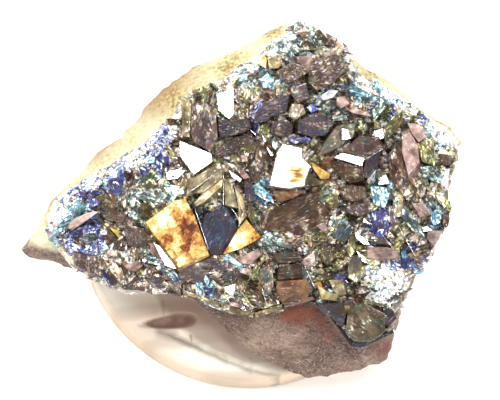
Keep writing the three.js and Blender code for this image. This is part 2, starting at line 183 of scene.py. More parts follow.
# %% Ramps and materials
def set_ramp(ramp, stops):
    """Gives a colour ramp its stops, written as place and hex colour in turn."""
    words = stops.split()
    elements = ramp.color_ramp.elements
    while len(elements) > 1:
        elements.remove(elements[-1])
    elements[0].position = float(words[0])
    elements[0].color = linear(words[1])
    for place, colour in zip(words[2::2], words[3::2]):
        elements.new(float(place)).color = linear(colour)
    return ramp


def new_material(name):
    """A material, a function that adds nodes to it, its Principled shader and Object coordinates."""
    material = bpy.data.materials.new(name)
    material.use_nodes = True
    tree = material.node_tree
    place = add_node(tree, "TexCoord").outputs["Object"]
    return material, partial(add_node, tree), tree.nodes["Principled BSDF"], place


print("white is", linear("#ffffff"))

# %% [markdown]
# ## Camera
#
# The specimen is seen almost square to its crystal face, as through a stereo microscope. An
# orthographic camera would do, but a long lens, well back, keeps near and far crystals at nearly
# the same scale and still lets the reflections change a little across the face.

# %% Camera
CAMERA_ELEVATION = math.radians(80)
CAMERA_DISTANCE = 330.0
VIEW_WIDTH = 31.25
SENSOR_WIDTH = 36.0
AIM_HEIGHT = 1.5

TO_CAMERA = np.array([0, -math.cos(CAMERA_ELEVATION), math.sin(CAMERA_ELEVATION)])
aim = face_to_part([0, 0, AIM_HEIGHT])

camera_data = bpy.data.cameras.new("camera")
camera_data.sensor_width = SENSOR_WIDTH
camera_data.lens = SENSOR_WIDTH * CAMERA_DISTANCE / VIEW_WIDTH
camera_data.clip_start = 0.01
camera_data.clip_end = 10.0
camera = bpy.data.objects.new("camera", camera_data)
camera.location = (aim + TO_CAMERA * CAMERA_DISTANCE) * MM
camera.rotation_euler = (math.pi / 2 - CAMERA_ELEVATION, 0, 0)
bpy.context.scene.collection.objects.link(camera)
bpy.context.scene.camera = camera
print(f"lens {camera_data.lens:.0f} mm at {CAMERA_DISTANCE:.0f} mm")

# %% [markdown]
# ## Light
#
# Crystals are mirrors as much as they are windows, so the light is arranged by what a facet
# should reflect. A picture of a studio could surround the specimen, but then nobody would know
# where its bright places are. Round softboxes stand at chosen directions instead, and a facet
# that bisects the way to the camera and the way to a softbox turns white. The table names
# them, so that a crystal can be leant towards one of them.

# %% Softboxes
SOFTBOX_DISTANCE = 260.0
SOFTBOXES = {
    # name: (direction from the specimen on the face's axes, radius in mm, radiance)
    "lens": ((0.16, 0.20, 0.96), 27.0, 50.0),
    "back": ((-0.30, 0.80, 0.52), 40.0, 44.0),
    "left": ((-0.86, 0.05, 0.50), 20.0, 50.0),
    "right": ((0.84, 0.30, 0.45), 20.0, 50.0),
    "front": ((0.25, -0.75, 0.60), 18.0, 60.0),
    "high_left": ((-0.50, 0.30, 0.81), 16.0, 50.0),
}


def softbox_direction(name):
    """The unit vector from the specimen to a softbox, in the part's frame."""
    direction = np.array(SOFTBOXES[name][0]) @ FACE_AXES
    return direction / np.linalg.norm(direction)


def add_softbox(name):
    """A disc of light facing the specimen. Power = radiance * pi * area."""
    _, radius, radiance = SOFTBOXES[name]
    light = bpy.data.lights.new(f"softbox_{name}", "AREA")
    light.shape = "DISK"
    light.size = 2 * radius * MM
    light.energy = radiance * math.pi * math.pi * (radius * MM) ** 2
    lamp = bpy.data.objects.new(f"softbox_{name}", light)
    direction = softbox_direction(name)
    lamp.location = (aim + direction * SOFTBOX_DISTANCE) * MM
    lamp.rotation_mode = "QUATERNION"
    lamp.rotation_quaternion = Vector(direction).to_track_quat("Z", "Y")
    bpy.context.scene.collection.objects.link(lamp)


for softbox in SOFTBOXES:
    add_softbox(softbox)
print(len(SOFTBOXES), "softboxes")

# %% [markdown]
# A soft white room fills the shadows. Its walls are brighter and dimmer in large patches, and a
# little warm and cool, so that neighbouring facets don't reflect the same white.

# %% White room
ROOM_DIM = 0.55
ROOM_BRIGHT = 2.3
CEILING_SHADE = 0.75

world = bpy.data.worlds.new("white_room")
world.use_nodes = True
room = world.node_tree
ways = add_node(room, "TexCoord").outputs["Generated"]
patches = add_node(room, "TexNoise", ways, Scale=3.6, Detail=2.0)
walls = add_node(room, "MapRange", patches, 0.42, 0.68, ROOM_DIM, ROOM_BRIGHT)
height = add_node(room, "SeparateXYZ", ways).outputs["Z"]
ceiling = add_node(room, "MapRange", height, 0.7, 0.9, 1.0, CEILING_SHADE)
strength = add_node(room, "Math", walls, ceiling, operation="MULTIPLY")
warmth = add_node(room, "TexNoise", ways, Scale=5.0, Detail=1.0)
tint = set_ramp(add_node(room, "ValToRGB", warmth), "0.36 #b0ccff 0.48 #ffffff 0.62 #ffe6c0")
feed(room.nodes["Background"], {"Color": tint, "Strength": strength})
bpy.context.scene.world = world
bpy.context.scene.view_settings.view_transform = "Standard"
print(len(room.nodes), "nodes in the room")

# %% [markdown]
# ## Noise for shapes
#
# Broken stone has no formula of its own. Its ledges, lumps and grains are given by noise: a
# repeatable value at every corner of a grid, blended smoothly between the corners. Finer grids
# with less height are added until the surface looks broken and not moulded. A Displace modifier
# could do this too, but in numpy the same noise also says where crystals stand and turn.

# %% Noise for shapes
HASH_WAVE = np.array([127.1, 311.7, 74.7])
HASH_SEED_STEP = 53.3
HASH_GAIN = 43758.5453


def hashed(cells, seed):
    """A repeatable value from 0 to 1 for whole-number cells: the fraction of a large sine."""
    mixed = cells @ HASH_WAVE + seed * HASH_SEED_STEP
    return np.modf(np.abs(np.sin(mixed) * HASH_GAIN))[0]


def value_noise(points, size, seed=0):
    """Smooth noise from -1 to 1: hashed values at the corners of cubes of one size, blended
    with the smoothstep 3t^2 - 2t^3 along each axis."""
    scaled = np.asarray(points, float) / size
    base = np.floor(scaled)
    t = scaled - base
    t = t * t * (3 - 2 * t)
    total = np.zeros(scaled.shape[:-1])
    for corner in np.ndindex(2, 2, 2):
        step = np.array(corner)
        weight = np.prod(np.where(step == 1, t, 1 - t), axis=-1)
        total += weight * hashed(base + step, seed)
    return total * 2 - 1


def rough_noise(points, size, octaves, seed=0):
    """Several noises, each with half the cell and half the height of the one before."""
    return sum(value_noise(points, size / 2 ** i, seed + i) / 2 ** i for i in range(octaves))


print("noise at two points:", np.round(value_noise([[0, 0, 0], [0.5, 0, 0]], 1.0), 2))

# %% [markdown]
# ## Outlines
#
# Two outlines on the face carry the whole form: the edge of the crust, and the widest reach of
# the rock. Both are star-shaped seen from the middle, so a form can be swept round by angle.

# %% Outlines on the face
CRUST_EDGE = table("""
    13.3,3.6 12.7,4.4 11.4,5.2 10.2,6.3 9,7 7.6,7.5 6.6,8.4 6.2,9.8 5.3,10.4 4.2,11 3,11.1 1.7,10.2
    0.5,9.2 -0.8,8.25 -2.1,7.4 -4.2,6.5 -5,5.1 -6.1,4.2 -7.2,3.3 -8.7,2.1 -10.1,1.6 -11.3,0.9 -12.4,0
    -12.9,-1.2 -12.6,-2.3 -11.7,-3.2 -11.4,-4.2 -10.4,-4.8 -9.2,-5.2 -7.9,-5.85 -6.2,-5.8 -4.9,-5.8
    -3.4,-6.2 -1.9,-6.8 -0.7,-7.25 0.3,-7.4 2,-6.9 3.1,-6.5 4.3,-6.35 4.8,-7.1 5.6,-7.5 5.9,-8.2 6.2,-9
    6.6,-9.3 7.7,-9 9.1,-8.3 9.4,-7.3 9.8,-6.3 10.3,-5 10.9,-4.1 11.6,-3.1 12.3,-2.1 12.7,-1.1 12.6,0.3
    12.6,1.6 13,2.7
""")
ROCK_REACH = table("""
    13.4,3.7 12.5,4.7 11,5.6 9.9,6.6 9.2,7.3 8.3,7.8 7.2,8.5 6.2,9.3 5,10.3 3.9,11 2.2,11.15 0.75,10.6
    -0.7,9.75 -2.25,9.1 -3.75,8.4 -5.25,7.3 -6.25,6.4 -7.2,5 -8.4,3.95 -9.6,3.05 -10.75,1.8 -11.7,0.9
    -12.5,0 -13.3,-1.4 -14.5,-3.15 -13.9,-3.7 -12.6,-3.85 -11.4,-4.3 -10.2,-4.6 -8.8,-5.2 -7.2,-5.6
    -5.4,-5.6 -3.7,-6.4 -2.6,-7.4 -1.6,-8.15 -0.6,-9.15 0.2,-9.7 1.2,-10.2 2.25,-10.7 3.45,-11.25
    5.3,-11.05 6.3,-10.95 7.3,-10.65 8.1,-10.35 8.75,-10.1 9,-9.3 9.2,-8.4 9.4,-7.3 9.7,-6.4 10.2,-5.4
    10.7,-4.3 11.4,-3.2 12.1,-2.2 12.4,-1.2 12.4,0.2 12.5,1.6 12.9,2.7
""")
TINY = 1e-9


def reach_of(outline, angle):
    """Distance from the middle to the outline at each angle, by crossing every side with the
    ray: along = a x (b - a) / ray x (b - a), kept where the crossing lies on the side."""
    start = outline
    side = np.roll(outline, -1, axis=0) - outline
    dx, dy = np.cos(angle)[..., None], np.sin(angle)[..., None]
    cross = dx * side[:, 1] - dy * side[:, 0]
    cross = np.where(np.abs(cross) < TINY, TINY, cross)
    along = (start[:, 0] * side[:, 1] - start[:, 1] * side[:, 0]) / cross
    share = (start[:, 0] * dy - start[:, 1] * dx) / cross
    return np.where((share >= 0) & (share <= 1), along, 0).max(axis=-1)


def swept(reach, angle, height):
    """Points round the middle: (reach * cos, reach * sin, height), for whole arrays."""
    x, y = reach * np.cos(angle), reach * np.sin(angle)
    return np.stack([x, y, height + 0 * x], -1)


def ring_faces(levels, around):
    """Quads of a grid of rings, bottom ring first, and one many-sided face at each end."""
    i = np.arange(around)
    j = np.roll(i, -1)
    quads = [np.stack([k * around + i, k * around + j, (k + 1) * around + j,
                       (k + 1) * around + i], axis=1) for k in range(levels - 1)]
    ends = [i[::-1].tolist(), ((levels - 1) * around + i).tolist()]
    return np.concatenate(quads).tolist() + ends


eighths = np.linspace(0, 2 * math.pi, 8, endpoint=False)
print("crust reach:", np.round(reach_of(CRUST_EDGE, eighths), 1))

# %% [markdown]
# ## Host rock
#
# The rock is a fine-grained chunk, weathered cream and tan at the back left and brown and
# matted at the front right. It could be sculpted, but then its edge would have to be fitted to
# the crust by eye. Its form is swept round the middle instead: at each angle a profile runs
# from the seat on the pad, out under the belly and in to the crust. Noise in millimetres of
# several sizes breaks it into ledges and grains.

# %% Host rock shape
ROCK_AROUND = 620
ROCK_LEVELS = 124
ROCK_KNOTS = np.array([0.0, 0.14, 0.32, 0.55, 0.78, 1.0])
ROCK_SHARE = np.array([0.0, 0.3, 0.75, 1.0, 0.85, 0.0])
ROCK_SEAT = np.array([1.0, 0.7, 0.25, 0.0, 0.0, 0.0])
SEAT_SHRINK = 0.74
ROCK_LEAN = 0.17
INSIDE_CRUST = 0.2
LEDGE_HEIGHT, LEDGE_SIZE = 0.4, 3.2
GRAIN_HEIGHT, GRAIN_SIZE = 0.10, 0.55
# Ledges are wider than they are high, and die out towards the seat and the crust
LEDGE_FLATNESS = [1, 1, 1.8]
END_FADE = 12


def rock_points():
    """Swept form: at angle a and height h from seat (0) to crust (1) the reach blends from the
    seat's outline to the rock's widest reach and then to just inside the crust's edge. Between
    seat and crust it leans back, by a share of the depth under the crust."""
    angle = np.linspace(0, 2 * math.pi, ROCK_AROUND, endpoint=False)[None, :]
    height = np.linspace(0, 1, ROCK_LEVELS)[:, None]
    wide = reach_of(ROCK_REACH, angle)
    inner = np.minimum(reach_of(CRUST_EDGE, angle), wide) - INSIDE_CRUST
    share = np.interp(height, ROCK_KNOTS, ROCK_SHARE)
    seat = np.interp(height, ROCK_KNOTS, ROCK_SEAT)
    reach = (1 - seat) * (share * wide + (1 - share) * inner) + seat * SEAT_SHRINK * wide
    top = face_to_part(swept(reach, angle, 0))
    points = top.copy()
    points[..., 2] = PAD_THICKNESS + (top[..., 2] - PAD_THICKNESS) * height
    under_crust = top[..., 2] - points[..., 2]
    points[..., 1] += ROCK_LEAN * under_crust * np.minimum(1, height / ROCK_KNOTS[2])
    ledges = LEDGE_HEIGHT * rough_noise(points * LEDGE_FLATNESS, LEDGE_SIZE, 3, seed=3)
    grains = GRAIN_HEIGHT * rough_noise(points, GRAIN_SIZE, 3, seed=9)
    free = np.clip(np.minimum(height, 1 - height) * END_FADE, 0, 1)
    depth = (-np.abs(ledges) * 0.5 + grains) * free
    return points + swept(depth, angle, 0)


rock_shape = rock_points()
print("rock grid", rock_shape.shape, "top at", round(rock_shape[..., 2].max(), 2), "mm")

# %% [markdown]
# The rock's finish starts from limestone-like matrix: no gloss, a high roughness, and a colour
# that goes from iron-stained cream at the back left to grey brown at the front right. Rust and
# shade could be painted on a texture. They are laid on at chosen spots, each a fall from its
# middle to its radius, which needs no unwrapping and stays sharp at any size.

# %% Spots
# Each row is u, v, w on the face, radius, weight
RUST_SPOTS = table("""
    2.4,-7.2,-0.2,1.3,0.52 3.9,-7.2,-0.3,1.5,0.5 5,-8.5,-0.5,1.4,0.42 8.4,-9.2,-1,1.7,0.5
    9.4,-7.6,-0.5,1.3,0.4
""")
SHADE_SPOTS = table("""
    4.9,-7.6,-0.3,1.3,1 5.6,-9.2,-0.5,1.2,0.9 6.8,-9.8,-0.5,1.2,0.8 0.6,-8.2,-2.5,1.8,0.7
    8.6,-9.4,-1,1.2,0.7 -1,-8.4,-3,1.6,0.6 -12.6,-3.4,-0.5,1.3,0.7
""")
# The iron-stained outer band of the weathered flank
BAND_SPOTS = table("-5.5,6.8,-3,4,1.4 -9.5,3.4,-3,3,1.2")


def spots_mask(add, place, spots):
    """Soft spots on the face: the sum over (u, v, w, radius, weight) of the weight times a fall
    from 1 at the middle to 0 at the radius."""
    falls = []
    for u, v, w, radius, weight in spots:
        gap = add("VectorMath", place, face_to_part([u, v, w]) * MM, operation="DISTANCE")
        falls.append(add("MapRange", gap, radius * MM, 0.0, 0.0, weight))
    return reduce(partial(add, "Math", operation="ADD"), falls)


print(len(RUST_SPOTS), "spots of rust and", len(SHADE_SPOTS), "of shade")

# %% [markdown]
# Fibres of 0.7 mm with much finer detail make the matted look, and grains of 0.2 mm the sandy
# one. A wandering line across the rock parts the brown stone from the cream flank.

# %% Host rock material
def rock_material():
    """Iron-stained fine-grained matrix, broken surface."""
    material, add, shader, place = new_material("iron_stained_matrix")
    turned = add("Mapping", place, Rotation=(0.5, 0.3, 0.5), Scale=(1, 2, 1.5))
    patches = add("TexNoise", place, Scale=per(2.8), Detail=6.0)
    fibres = add("TexNoise", turned, Scale=per(0.7), Detail=8.0, Roughness=0.7, Distortion=2.2)
    curls = add("TexNoise", place, Scale=per(0.7), Detail=2.0, Distortion=2.5)
    grain = add("TexNoise", place, Scale=per(0.22), Detail=3.0)
    split = add("SeparateXYZ", place)

    turned_back = add("Math", split, -0.05, split.outputs["Y"], operation="MULTIPLY_ADD")
    wandering = add("Math", patches, 7 * MM, turned_back, operation="MULTIPLY_ADD")
    side = add("MapRange", wandering, 1.1 * MM, 2.1 * MM)
    ragged = add("Math", fibres, 3 * MM, split.outputs["Z"], operation="MULTIPLY_ADD")
    from_crust = add("Math", split.outputs["Y"], -math.tan(FACE_LEAN), ragged, operation="MULTIPLY_ADD")

    stringy = add("Mix", Factor=0.5, A=fibres, B=patches)
    brown = set_ramp(add("ValToRGB", stringy), "0.34 #362822 0.44 #57443a 0.53 #725e52 0.64 #9c8876")
    off_middle = add("Math", curls, 0.5, operation="SUBTRACT")
    ridge = add("Math", off_middle, operation="ABSOLUTE")
    hair = add("MapRange", ridge, 0.02, 0.0, 0.0, 0.5)
    rust_at = add("Math", fibres, spots_mask(add, place, RUST_SPOTS), operation="ADD")
    rust = add("MapRange", rust_at, 0.72, 0.95, 0.0, 0.8)
    gaps = add("MapRange", fibres, 0.6, 0.42)
    shade = add("Math", gaps, spots_mask(add, place, SHADE_SPOTS), operation="MULTIPLY")
    foot = add("MapRange", ragged, 6.8 * MM, 6.0 * MM, 0.0, 0.6)
    for mask, hue in ((hair, "#d0bcac"), (rust, "#7c3e28"), (shade, "#34262c"), (foot, "#a8a47c")):
        brown = add("Mix", data_type="RGBA", Factor=mask, A=brown, B=linear(hue))

    sandy = add("Math", grain, 0.7, -0.35, operation="MULTIPLY_ADD")
    sanded = add("Math", patches, sandy, operation="ADD")
    cream = set_ramp(add("ValToRGB", sanded), "0.3 #7c6438 0.4 #a09468 0.5 #b0a884 0.7 #c0bea0")
    uneven = add("Math", patches, -6 * MM, from_crust, operation="MULTIPLY_ADD")
    low = add("MapRange", uneven, 9.2 * MM, 7.6 * MM, 0.0, 0.85)
    band = add("Math", low, spots_mask(add, place, BAND_SPOTS), operation="MULTIPLY")
    banded = add("Mix", data_type="RGBA", Factor=band, A=cream, B=linear("#80603e"))

    colour = add("Mix", data_type="RGBA", Factor=side, A=brown, B=banded)
    heights = add("Math", fibres, grain, operation="ADD")
    bump = add("Bump", Strength=0.7, Distance=0.15 * MM, Height=heights)
    feed(shader, {"Base Color": colour, "Roughness": 0.85, "IOR": 1.5, "Normal": bump})
    return material


add_piece("host_rock_surface", rock_shape.reshape(-1, 3), ring_faces(ROCK_LEVELS, ROCK_AROUND),
          rock_material(), "host_rock")

# %% [markdown]
# ## Cork pad
#
# A slice of natural cork: a low disc with rounded edges, growth lines, fine pores and one
# lens-shaped lenticel that shows beside the rock as a dark brown hollow. A cylinder with a Bevel
# modifier would give the disc, but not the rings of points that the hollow needs. So a profile
# of radius and height is carried round the axis, and the hollow is pressed into its top.

# %% Cork pad shape
PAD_AROUND = 420
PAD_RIM = 0.35
PAD_HUB = 0.2
PORE_DEPTH, PORE_SIZE = 0.05, 0.7
WALL_FROM = 0.3
LENTICEL_CENTRE = np.array([-5.15, -7.35])
LENTICEL_HALF = np.array([1.95, 0.72])
LENTICEL_TURN = math.radians(6)
LENTICEL_BLUNT = 0.65
LENTICEL_SINK = 0.3


def lenticel_depth(x, y):
    """A lens-shaped hollow: depth falls as 1 - (a^2 + b^2) in the lens's own axes, where b is
    stretched so that the left end is pointed and the right end blunt."""
    dx, dy = x - LENTICEL_CENTRE[0], y - LENTICEL_CENTRE[1]
    a = (dx * math.cos(LENTICEL_TURN) + dy * math.sin(LENTICEL_TURN)) / LENTICEL_HALF[0]
    b = (dy * math.cos(LENTICEL_TURN) - dx * math.sin(LENTICEL_TURN)) / LENTICEL_HALF[1]
    b = b / (LENTICEL_BLUNT + (1 - LENTICEL_BLUNT) * a)
    return np.clip(1 - a ** 2 - b ** 2, 0, 1)


def pad_points():
    """A profile of radius and height carried round the axis: underside, wall, rounded rim and
    a top whose rings close in on the middle, sunk where the lenticel is."""
    bend = np.linspace(0, math.pi / 2, 7)
    out = PAD_RADIUS - PAD_RIM
    low = np.stack([out + PAD_RIM * np.sin(bend), PAD_RIM - PAD_RIM * np.cos(bend)], 1)
    high = np.stack([out + PAD_RIM * np.cos(bend), PAD_THICKNESS - PAD_RIM + PAD_RIM * np.sin(bend)], 1)
    wall = np.stack([np.full(12, PAD_RADIUS), np.linspace(PAD_RIM, PAD_THICKNESS - PAD_RIM, 12)], 1)
    top = np.stack([np.linspace(out, PAD_HUB, 130), np.full(130, PAD_THICKNESS)], 1)
    under = np.stack([np.linspace(PAD_HUB, out, 10), np.zeros(10)], 1)
    profile = np.concatenate([under[:-1], low, wall[1:-1], high, top[1:]])
    angle = np.linspace(0, 2 * math.pi, PAD_AROUND, endpoint=False)
    points = swept(profile[:, 0:1], angle, profile[:, 1:2])
    on_top = points[..., 2] > PAD_THICKNESS - TINY
    hollow = lenticel_depth(points[..., 0], points[..., 1])
    points[..., 2] -= np.where(on_top, LENTICEL_SINK * np.sqrt(hollow), 0)
    pores = PORE_DEPTH * rough_noise(points, PORE_SIZE, 3, seed=21)
    is_wall = (points[..., 2] > WALL_FROM) & (points[..., 2] < PAD_THICKNESS - WALL_FROM)
    shrink = 1 - np.where(is_wall, np.abs(pores), 0) / PAD_RADIUS
    points[..., :2] *= shrink[..., None]
    return points


pad_shape = pad_points()
print("pad grid", pad_shape.shape, "reach", round(pad_shape[..., 0].max(), 2), "mm")

# %% [markdown]
# Cork cracks along its growth lines as it dries. The cracks are too shallow to show as form, so
# they are drawn in the colour. Each is a stroke between two places, and the mask is strongest
# on the stroke and gone at its half width.

# %% Cracks in the cork
# Each row is start x, y, end x, y, half width, depth of colour
CORK_CRACKS = table("""
    -5.4,-7.8,-4.5,-8,0.5,0.7 -4.9,-7.9,-3.9,-8.4,0.34,0.8 -3.9,-8.4,-2.7,-8.9,0.34,0.8
    -2.7,-8.9,-1.1,-9.6,0.34,0.7 -1.1,-9.6,0.4,-10.2,0.3,0.6 0.4,-10.2,2.2,-10.6,0.18,0.5
    -3.4,-8,-3.35,-8.6,0.14,0.6 -2.2,-9,-1.2,-9.3,0.12,0.4 -5.2,-5.8,-5.1,-6.6,0.16,0.35
""")


def cracks_mask(add, place, cracks):
    """Thin dark lines: for each stroke from a to b, t = (p - a) . (b - a) / |b - a|^2 held to 0..1,
    and the mask falls with the gap between p - a and t (b - a)."""
    falls = []
    for x0, y0, x1, y1, half_width, weight in cracks:
        run = np.array([x1 - x0, y1 - y0, 0.0]) * MM
        from_start = add("VectorMath", place, (x0 * MM, y0 * MM, 0), operation="SUBTRACT")
        along = add("VectorMath", from_start, run / (run @ run), operation="DOT_PRODUCT")
        nearest = add("VectorMath", run, Scale=add("Clamp", along), operation="SCALE")
        gap = add("VectorMath", from_start, nearest, operation="DISTANCE")
        falls.append(add("MapRange", gap, half_width * MM, 0.0, 0.0, weight))
    return reduce(partial(add, "Math", operation="MAXIMUM"), falls)


print(len(CORK_CRACKS), "cracks")

# %% [markdown]
# The sliced face is grey beige inside, a painted shade where the specimen above shadows it, and cream
# towards the rim, with a brown halo round the lenticel. The back of its top is painted near white, as
# painted light where the light from the back washes it out. Each of these is a layer, a mask and a
# colour, laid over the one before.

# %% Cork material
# Painted shade: the middle and radius of the grey beige zone that stands for the specimen's shadow on
# the pad
PAD_SHADOW_CENTRE = np.array([2.2, -0.8])
PAD_SHADOW_RADIUS = 9.4
HALO_PLACE = np.array([-5.9, -6.9])
HALO_REACH = 3.4


def cork_material():
    """Natural cork, sliced and sanded: dull, with faint growth lines, pores and cracks."""
    material, add, shader, place = new_material("sliced_natural_cork")
    split = add("SeparateXYZ", place)
    turned = add("Mapping", place, Rotation=(0, 0, 1.45))
    lines = add("TexWave", turned, Scale=per(7.5), Distortion=3.0, Detail=4.0, **{"Detail Scale": 1.5})
    cloud = add("TexNoise", place, Scale=per(3), Detail=6.0, Roughness=0.6)
    pores = add("TexVoronoi", place, Scale=per(1.2))
    flat = add("CombineXYZ", split, split.outputs["Y"])
    radius = add("VectorMath", flat, operation="LENGTH")

    # Painted shade: grey beige over the middle of the pad, where the specimen's shadow falls, turning to
    # cream at the rim
    from_shadow_centre = add("VectorMath", flat, (*PAD_SHADOW_CENTRE * MM, 0), operation="DISTANCE")
    outward = add("MapRange", from_shadow_centre, (PAD_SHADOW_RADIUS - 1.2) * MM, (PAD_SHADOW_RADIUS + 0.8) * MM)
    wavy = add("Math", cloud, 0.5, outward, operation="MULTIPLY_ADD")
    colour = set_ramp(add("ValToRGB", wavy), "0.1 #a08474 0.5 #a08e80 0.8 #a09488 0.9 #c4baa6 1 #e6e0d0")
    from_halo = add("VectorMath", flat, (*HALO_PLACE * MM, 0), operation="DISTANCE")
    halo = add("MapRange", from_halo, HALO_REACH * MM, 0.0, 0.0, 0.75)
    edge = add("MapRange", radius, (PAD_RADIUS - 0.5) * MM, PAD_RADIUS * MM, 0.0, 0.7)
    # Painted light: the back of the pad's top turns near white, where the light from the back washes it
    # out
    front = add("MapRange", split.outputs["Y"], -6 * MM, -1 * MM)
    top = add("MapRange", split.outputs["Z"], (PAD_THICKNESS - 0.4) * MM, (PAD_THICKNESS - 0.1) * MM)
    painted_backlight = add("Math", front, top, operation="MULTIPLY")
    streak = add("MapRange", lines.outputs["Fac"], 0.6, 0.95, 0.0, 0.3)
    pinch = add("MapRange", pores, 0.09, 0.02, 0.0, 0.5)
    sway = (0.5 * MM, 0.5 * MM, 0)
    bent = add("VectorMath", cloud.outputs["Color"], sway, flat, operation="MULTIPLY_ADD")
    cracks = cracks_mask(add, bent, CORK_CRACKS)
    for mask, hue in ((halo, "#a4846c"), (edge, "#b89c80"), (painted_backlight, "#fffaf0"), (streak, "#84705e"),
                      (pinch, "#8d6a50"), (cracks, "#5e5044")):
        colour = add("Mix", data_type="RGBA", Factor=mask, A=colour, B=linear(hue))

    sunk = add("MapRange", split.outputs["Z"], (PAD_THICKNESS - 0.02) * MM, (PAD_THICKNESS - 0.22) * MM)
    inner = add("MapRange", radius, (PAD_RADIUS - 0.8) * MM, (PAD_RADIUS - 1.2) * MM)
    hollow = add("Math", sunk, inner, operation="MULTIPLY")
    fibrous = set_ramp(add("ValToRGB", cloud), "0.35 #4c3428 0.5 #6c5044 0.65 #8c7464")
    colour = add("Mix", data_type="RGBA", Factor=hollow, A=colour, B=fibrous)
    bump = add("Bump", Strength=0.5, Distance=0.1 * MM, Height=cloud)
    feed(shader, {"Base Color": colour, "Roughness": 0.8, "Normal": bump})
    return material


add_piece("cork_pad_surface", pad_shape.reshape(-1, 3), ring_faces(len(pad_shape), PAD_AROUND),
          cork_material(), "cork_pad", smooth=True)

# %% [markdown]
# ## Lazulite finishes
#
# Lazulite is a glassy phosphate with a refractive index near 1.62. Thick crystals look smoky
# brown to black, thin ones show deep blue, teal and olive, and iron-stained ones are amber.
# They are see-through to different degrees: part of the colour comes from absorption inside the
# crystal, so a thick crystal is darker than a thin one, as in the real stone. Plain glass would
# look empty, because it is the flaws inside that give a crystal its body.
#
# Inside, a crystal is broken into chips that are stretched along its growth. Each chip is tilted
# a little, so that a dark face carries small bright mirrors. Noise in the bump would only make
# the face rough. A bump with a plane for each cell keeps every chip flat and glossy.

# %% Chips of a face
LAZULITE_IOR = 1.62
CHIPS_PER_MM = 10.0


def chip_bump(add, cells, places, slope, strength):
    """Chips tilted at random: in each cell the height is a plane, (place - cell's middle) .
    (cell's colour - 1/2) * blue^3. Most chips lie nearly flat and a few lean far."""
    from_middle = add("VectorMath", places, cells.outputs["Position"], operation="SUBTRACT")
    tilt = add("VectorMath", cells.outputs["Color"], (0.5, 0.5, 0.5), operation="SUBTRACT")
    plane = add("VectorMath", from_middle, tilt, operation="DOT_PRODUCT")
    blue = add("SeparateColor", cells.outputs["Color"]).outputs["Blue"]
    rare = add("Math", blue, 3.0, operation="POWER")
    heights = add("Math", plane, rare, operation="MULTIPLY")
    return add("Bump", Strength=strength, Distance=2 * slope / CHIPS_PER_MM * MM, Height=heights)


print("chips are", 1 / CHIPS_PER_MM, "mm wide")

# %% [markdown]
# White flaws and painted glints are not see-through: bursts of chips where the painted sparkle runs
# to white, which are painted highlights, a dot in a few of them, and fine lines that run along the
# growth. The dots and lines are partly flaws and partly painted reflections.

# %% White flaws and painted glints
FLAW_AND_GLINT_WHITE = (0.9, 0.93, 0.88, 1)
LINES_PER_MM = 18.0
LINE_STRETCH = 0.2


def flaws_and_painted_glints(add, growth, chips, chip, burst):
    """How white a place is: the most of its burst, its dot and its line."""
    rare = add("MapRange", chip.outputs["Blue"], 0.96, 0.98, 0.0, 0.7)
    near = add("MapRange", chips, 0.34, 0.2)
    dot = add("Math", rare, near, operation="MULTIPLY")
    long = add("Mapping", growth, Scale=(LINES_PER_MM, LINES_PER_MM, LINE_STRETCH))
    lines = add("TexNoise", long, Scale=1.0, Detail=1.0)
    line = add("MapRange", lines, 0.66, 0.78, 0.0, 0.4)
    return reduce(partial(add, "Math", operation="MAXIMUM"), (burst, dot, line))


print("lines are", round(1 / LINES_PER_MM, 3), "mm apart")

# %% [markdown]
# The colour has two layers. The body is clouded and changes its hue slowly. On top of it the
# chips flash in their own hues, but only in patches, as light does on a broken face. The flashes
# are added to the body and not mixed with it, because they are light that comes on top.

# %% Crystal material
CLOUDS_PER_MM = 1.3
SHARDS_PER_MM = 1.5
CLOUD_BEND = 0.2
PATCH_LEAST = 0.12
GLOW_LEAST, GLOW_MOST = 0.7, 3.4
CHIP_SHARE, SPARK_FROM, SPARK_POWER = 0.55, 0.4, 4.0
WHITE_STEP = 0.08


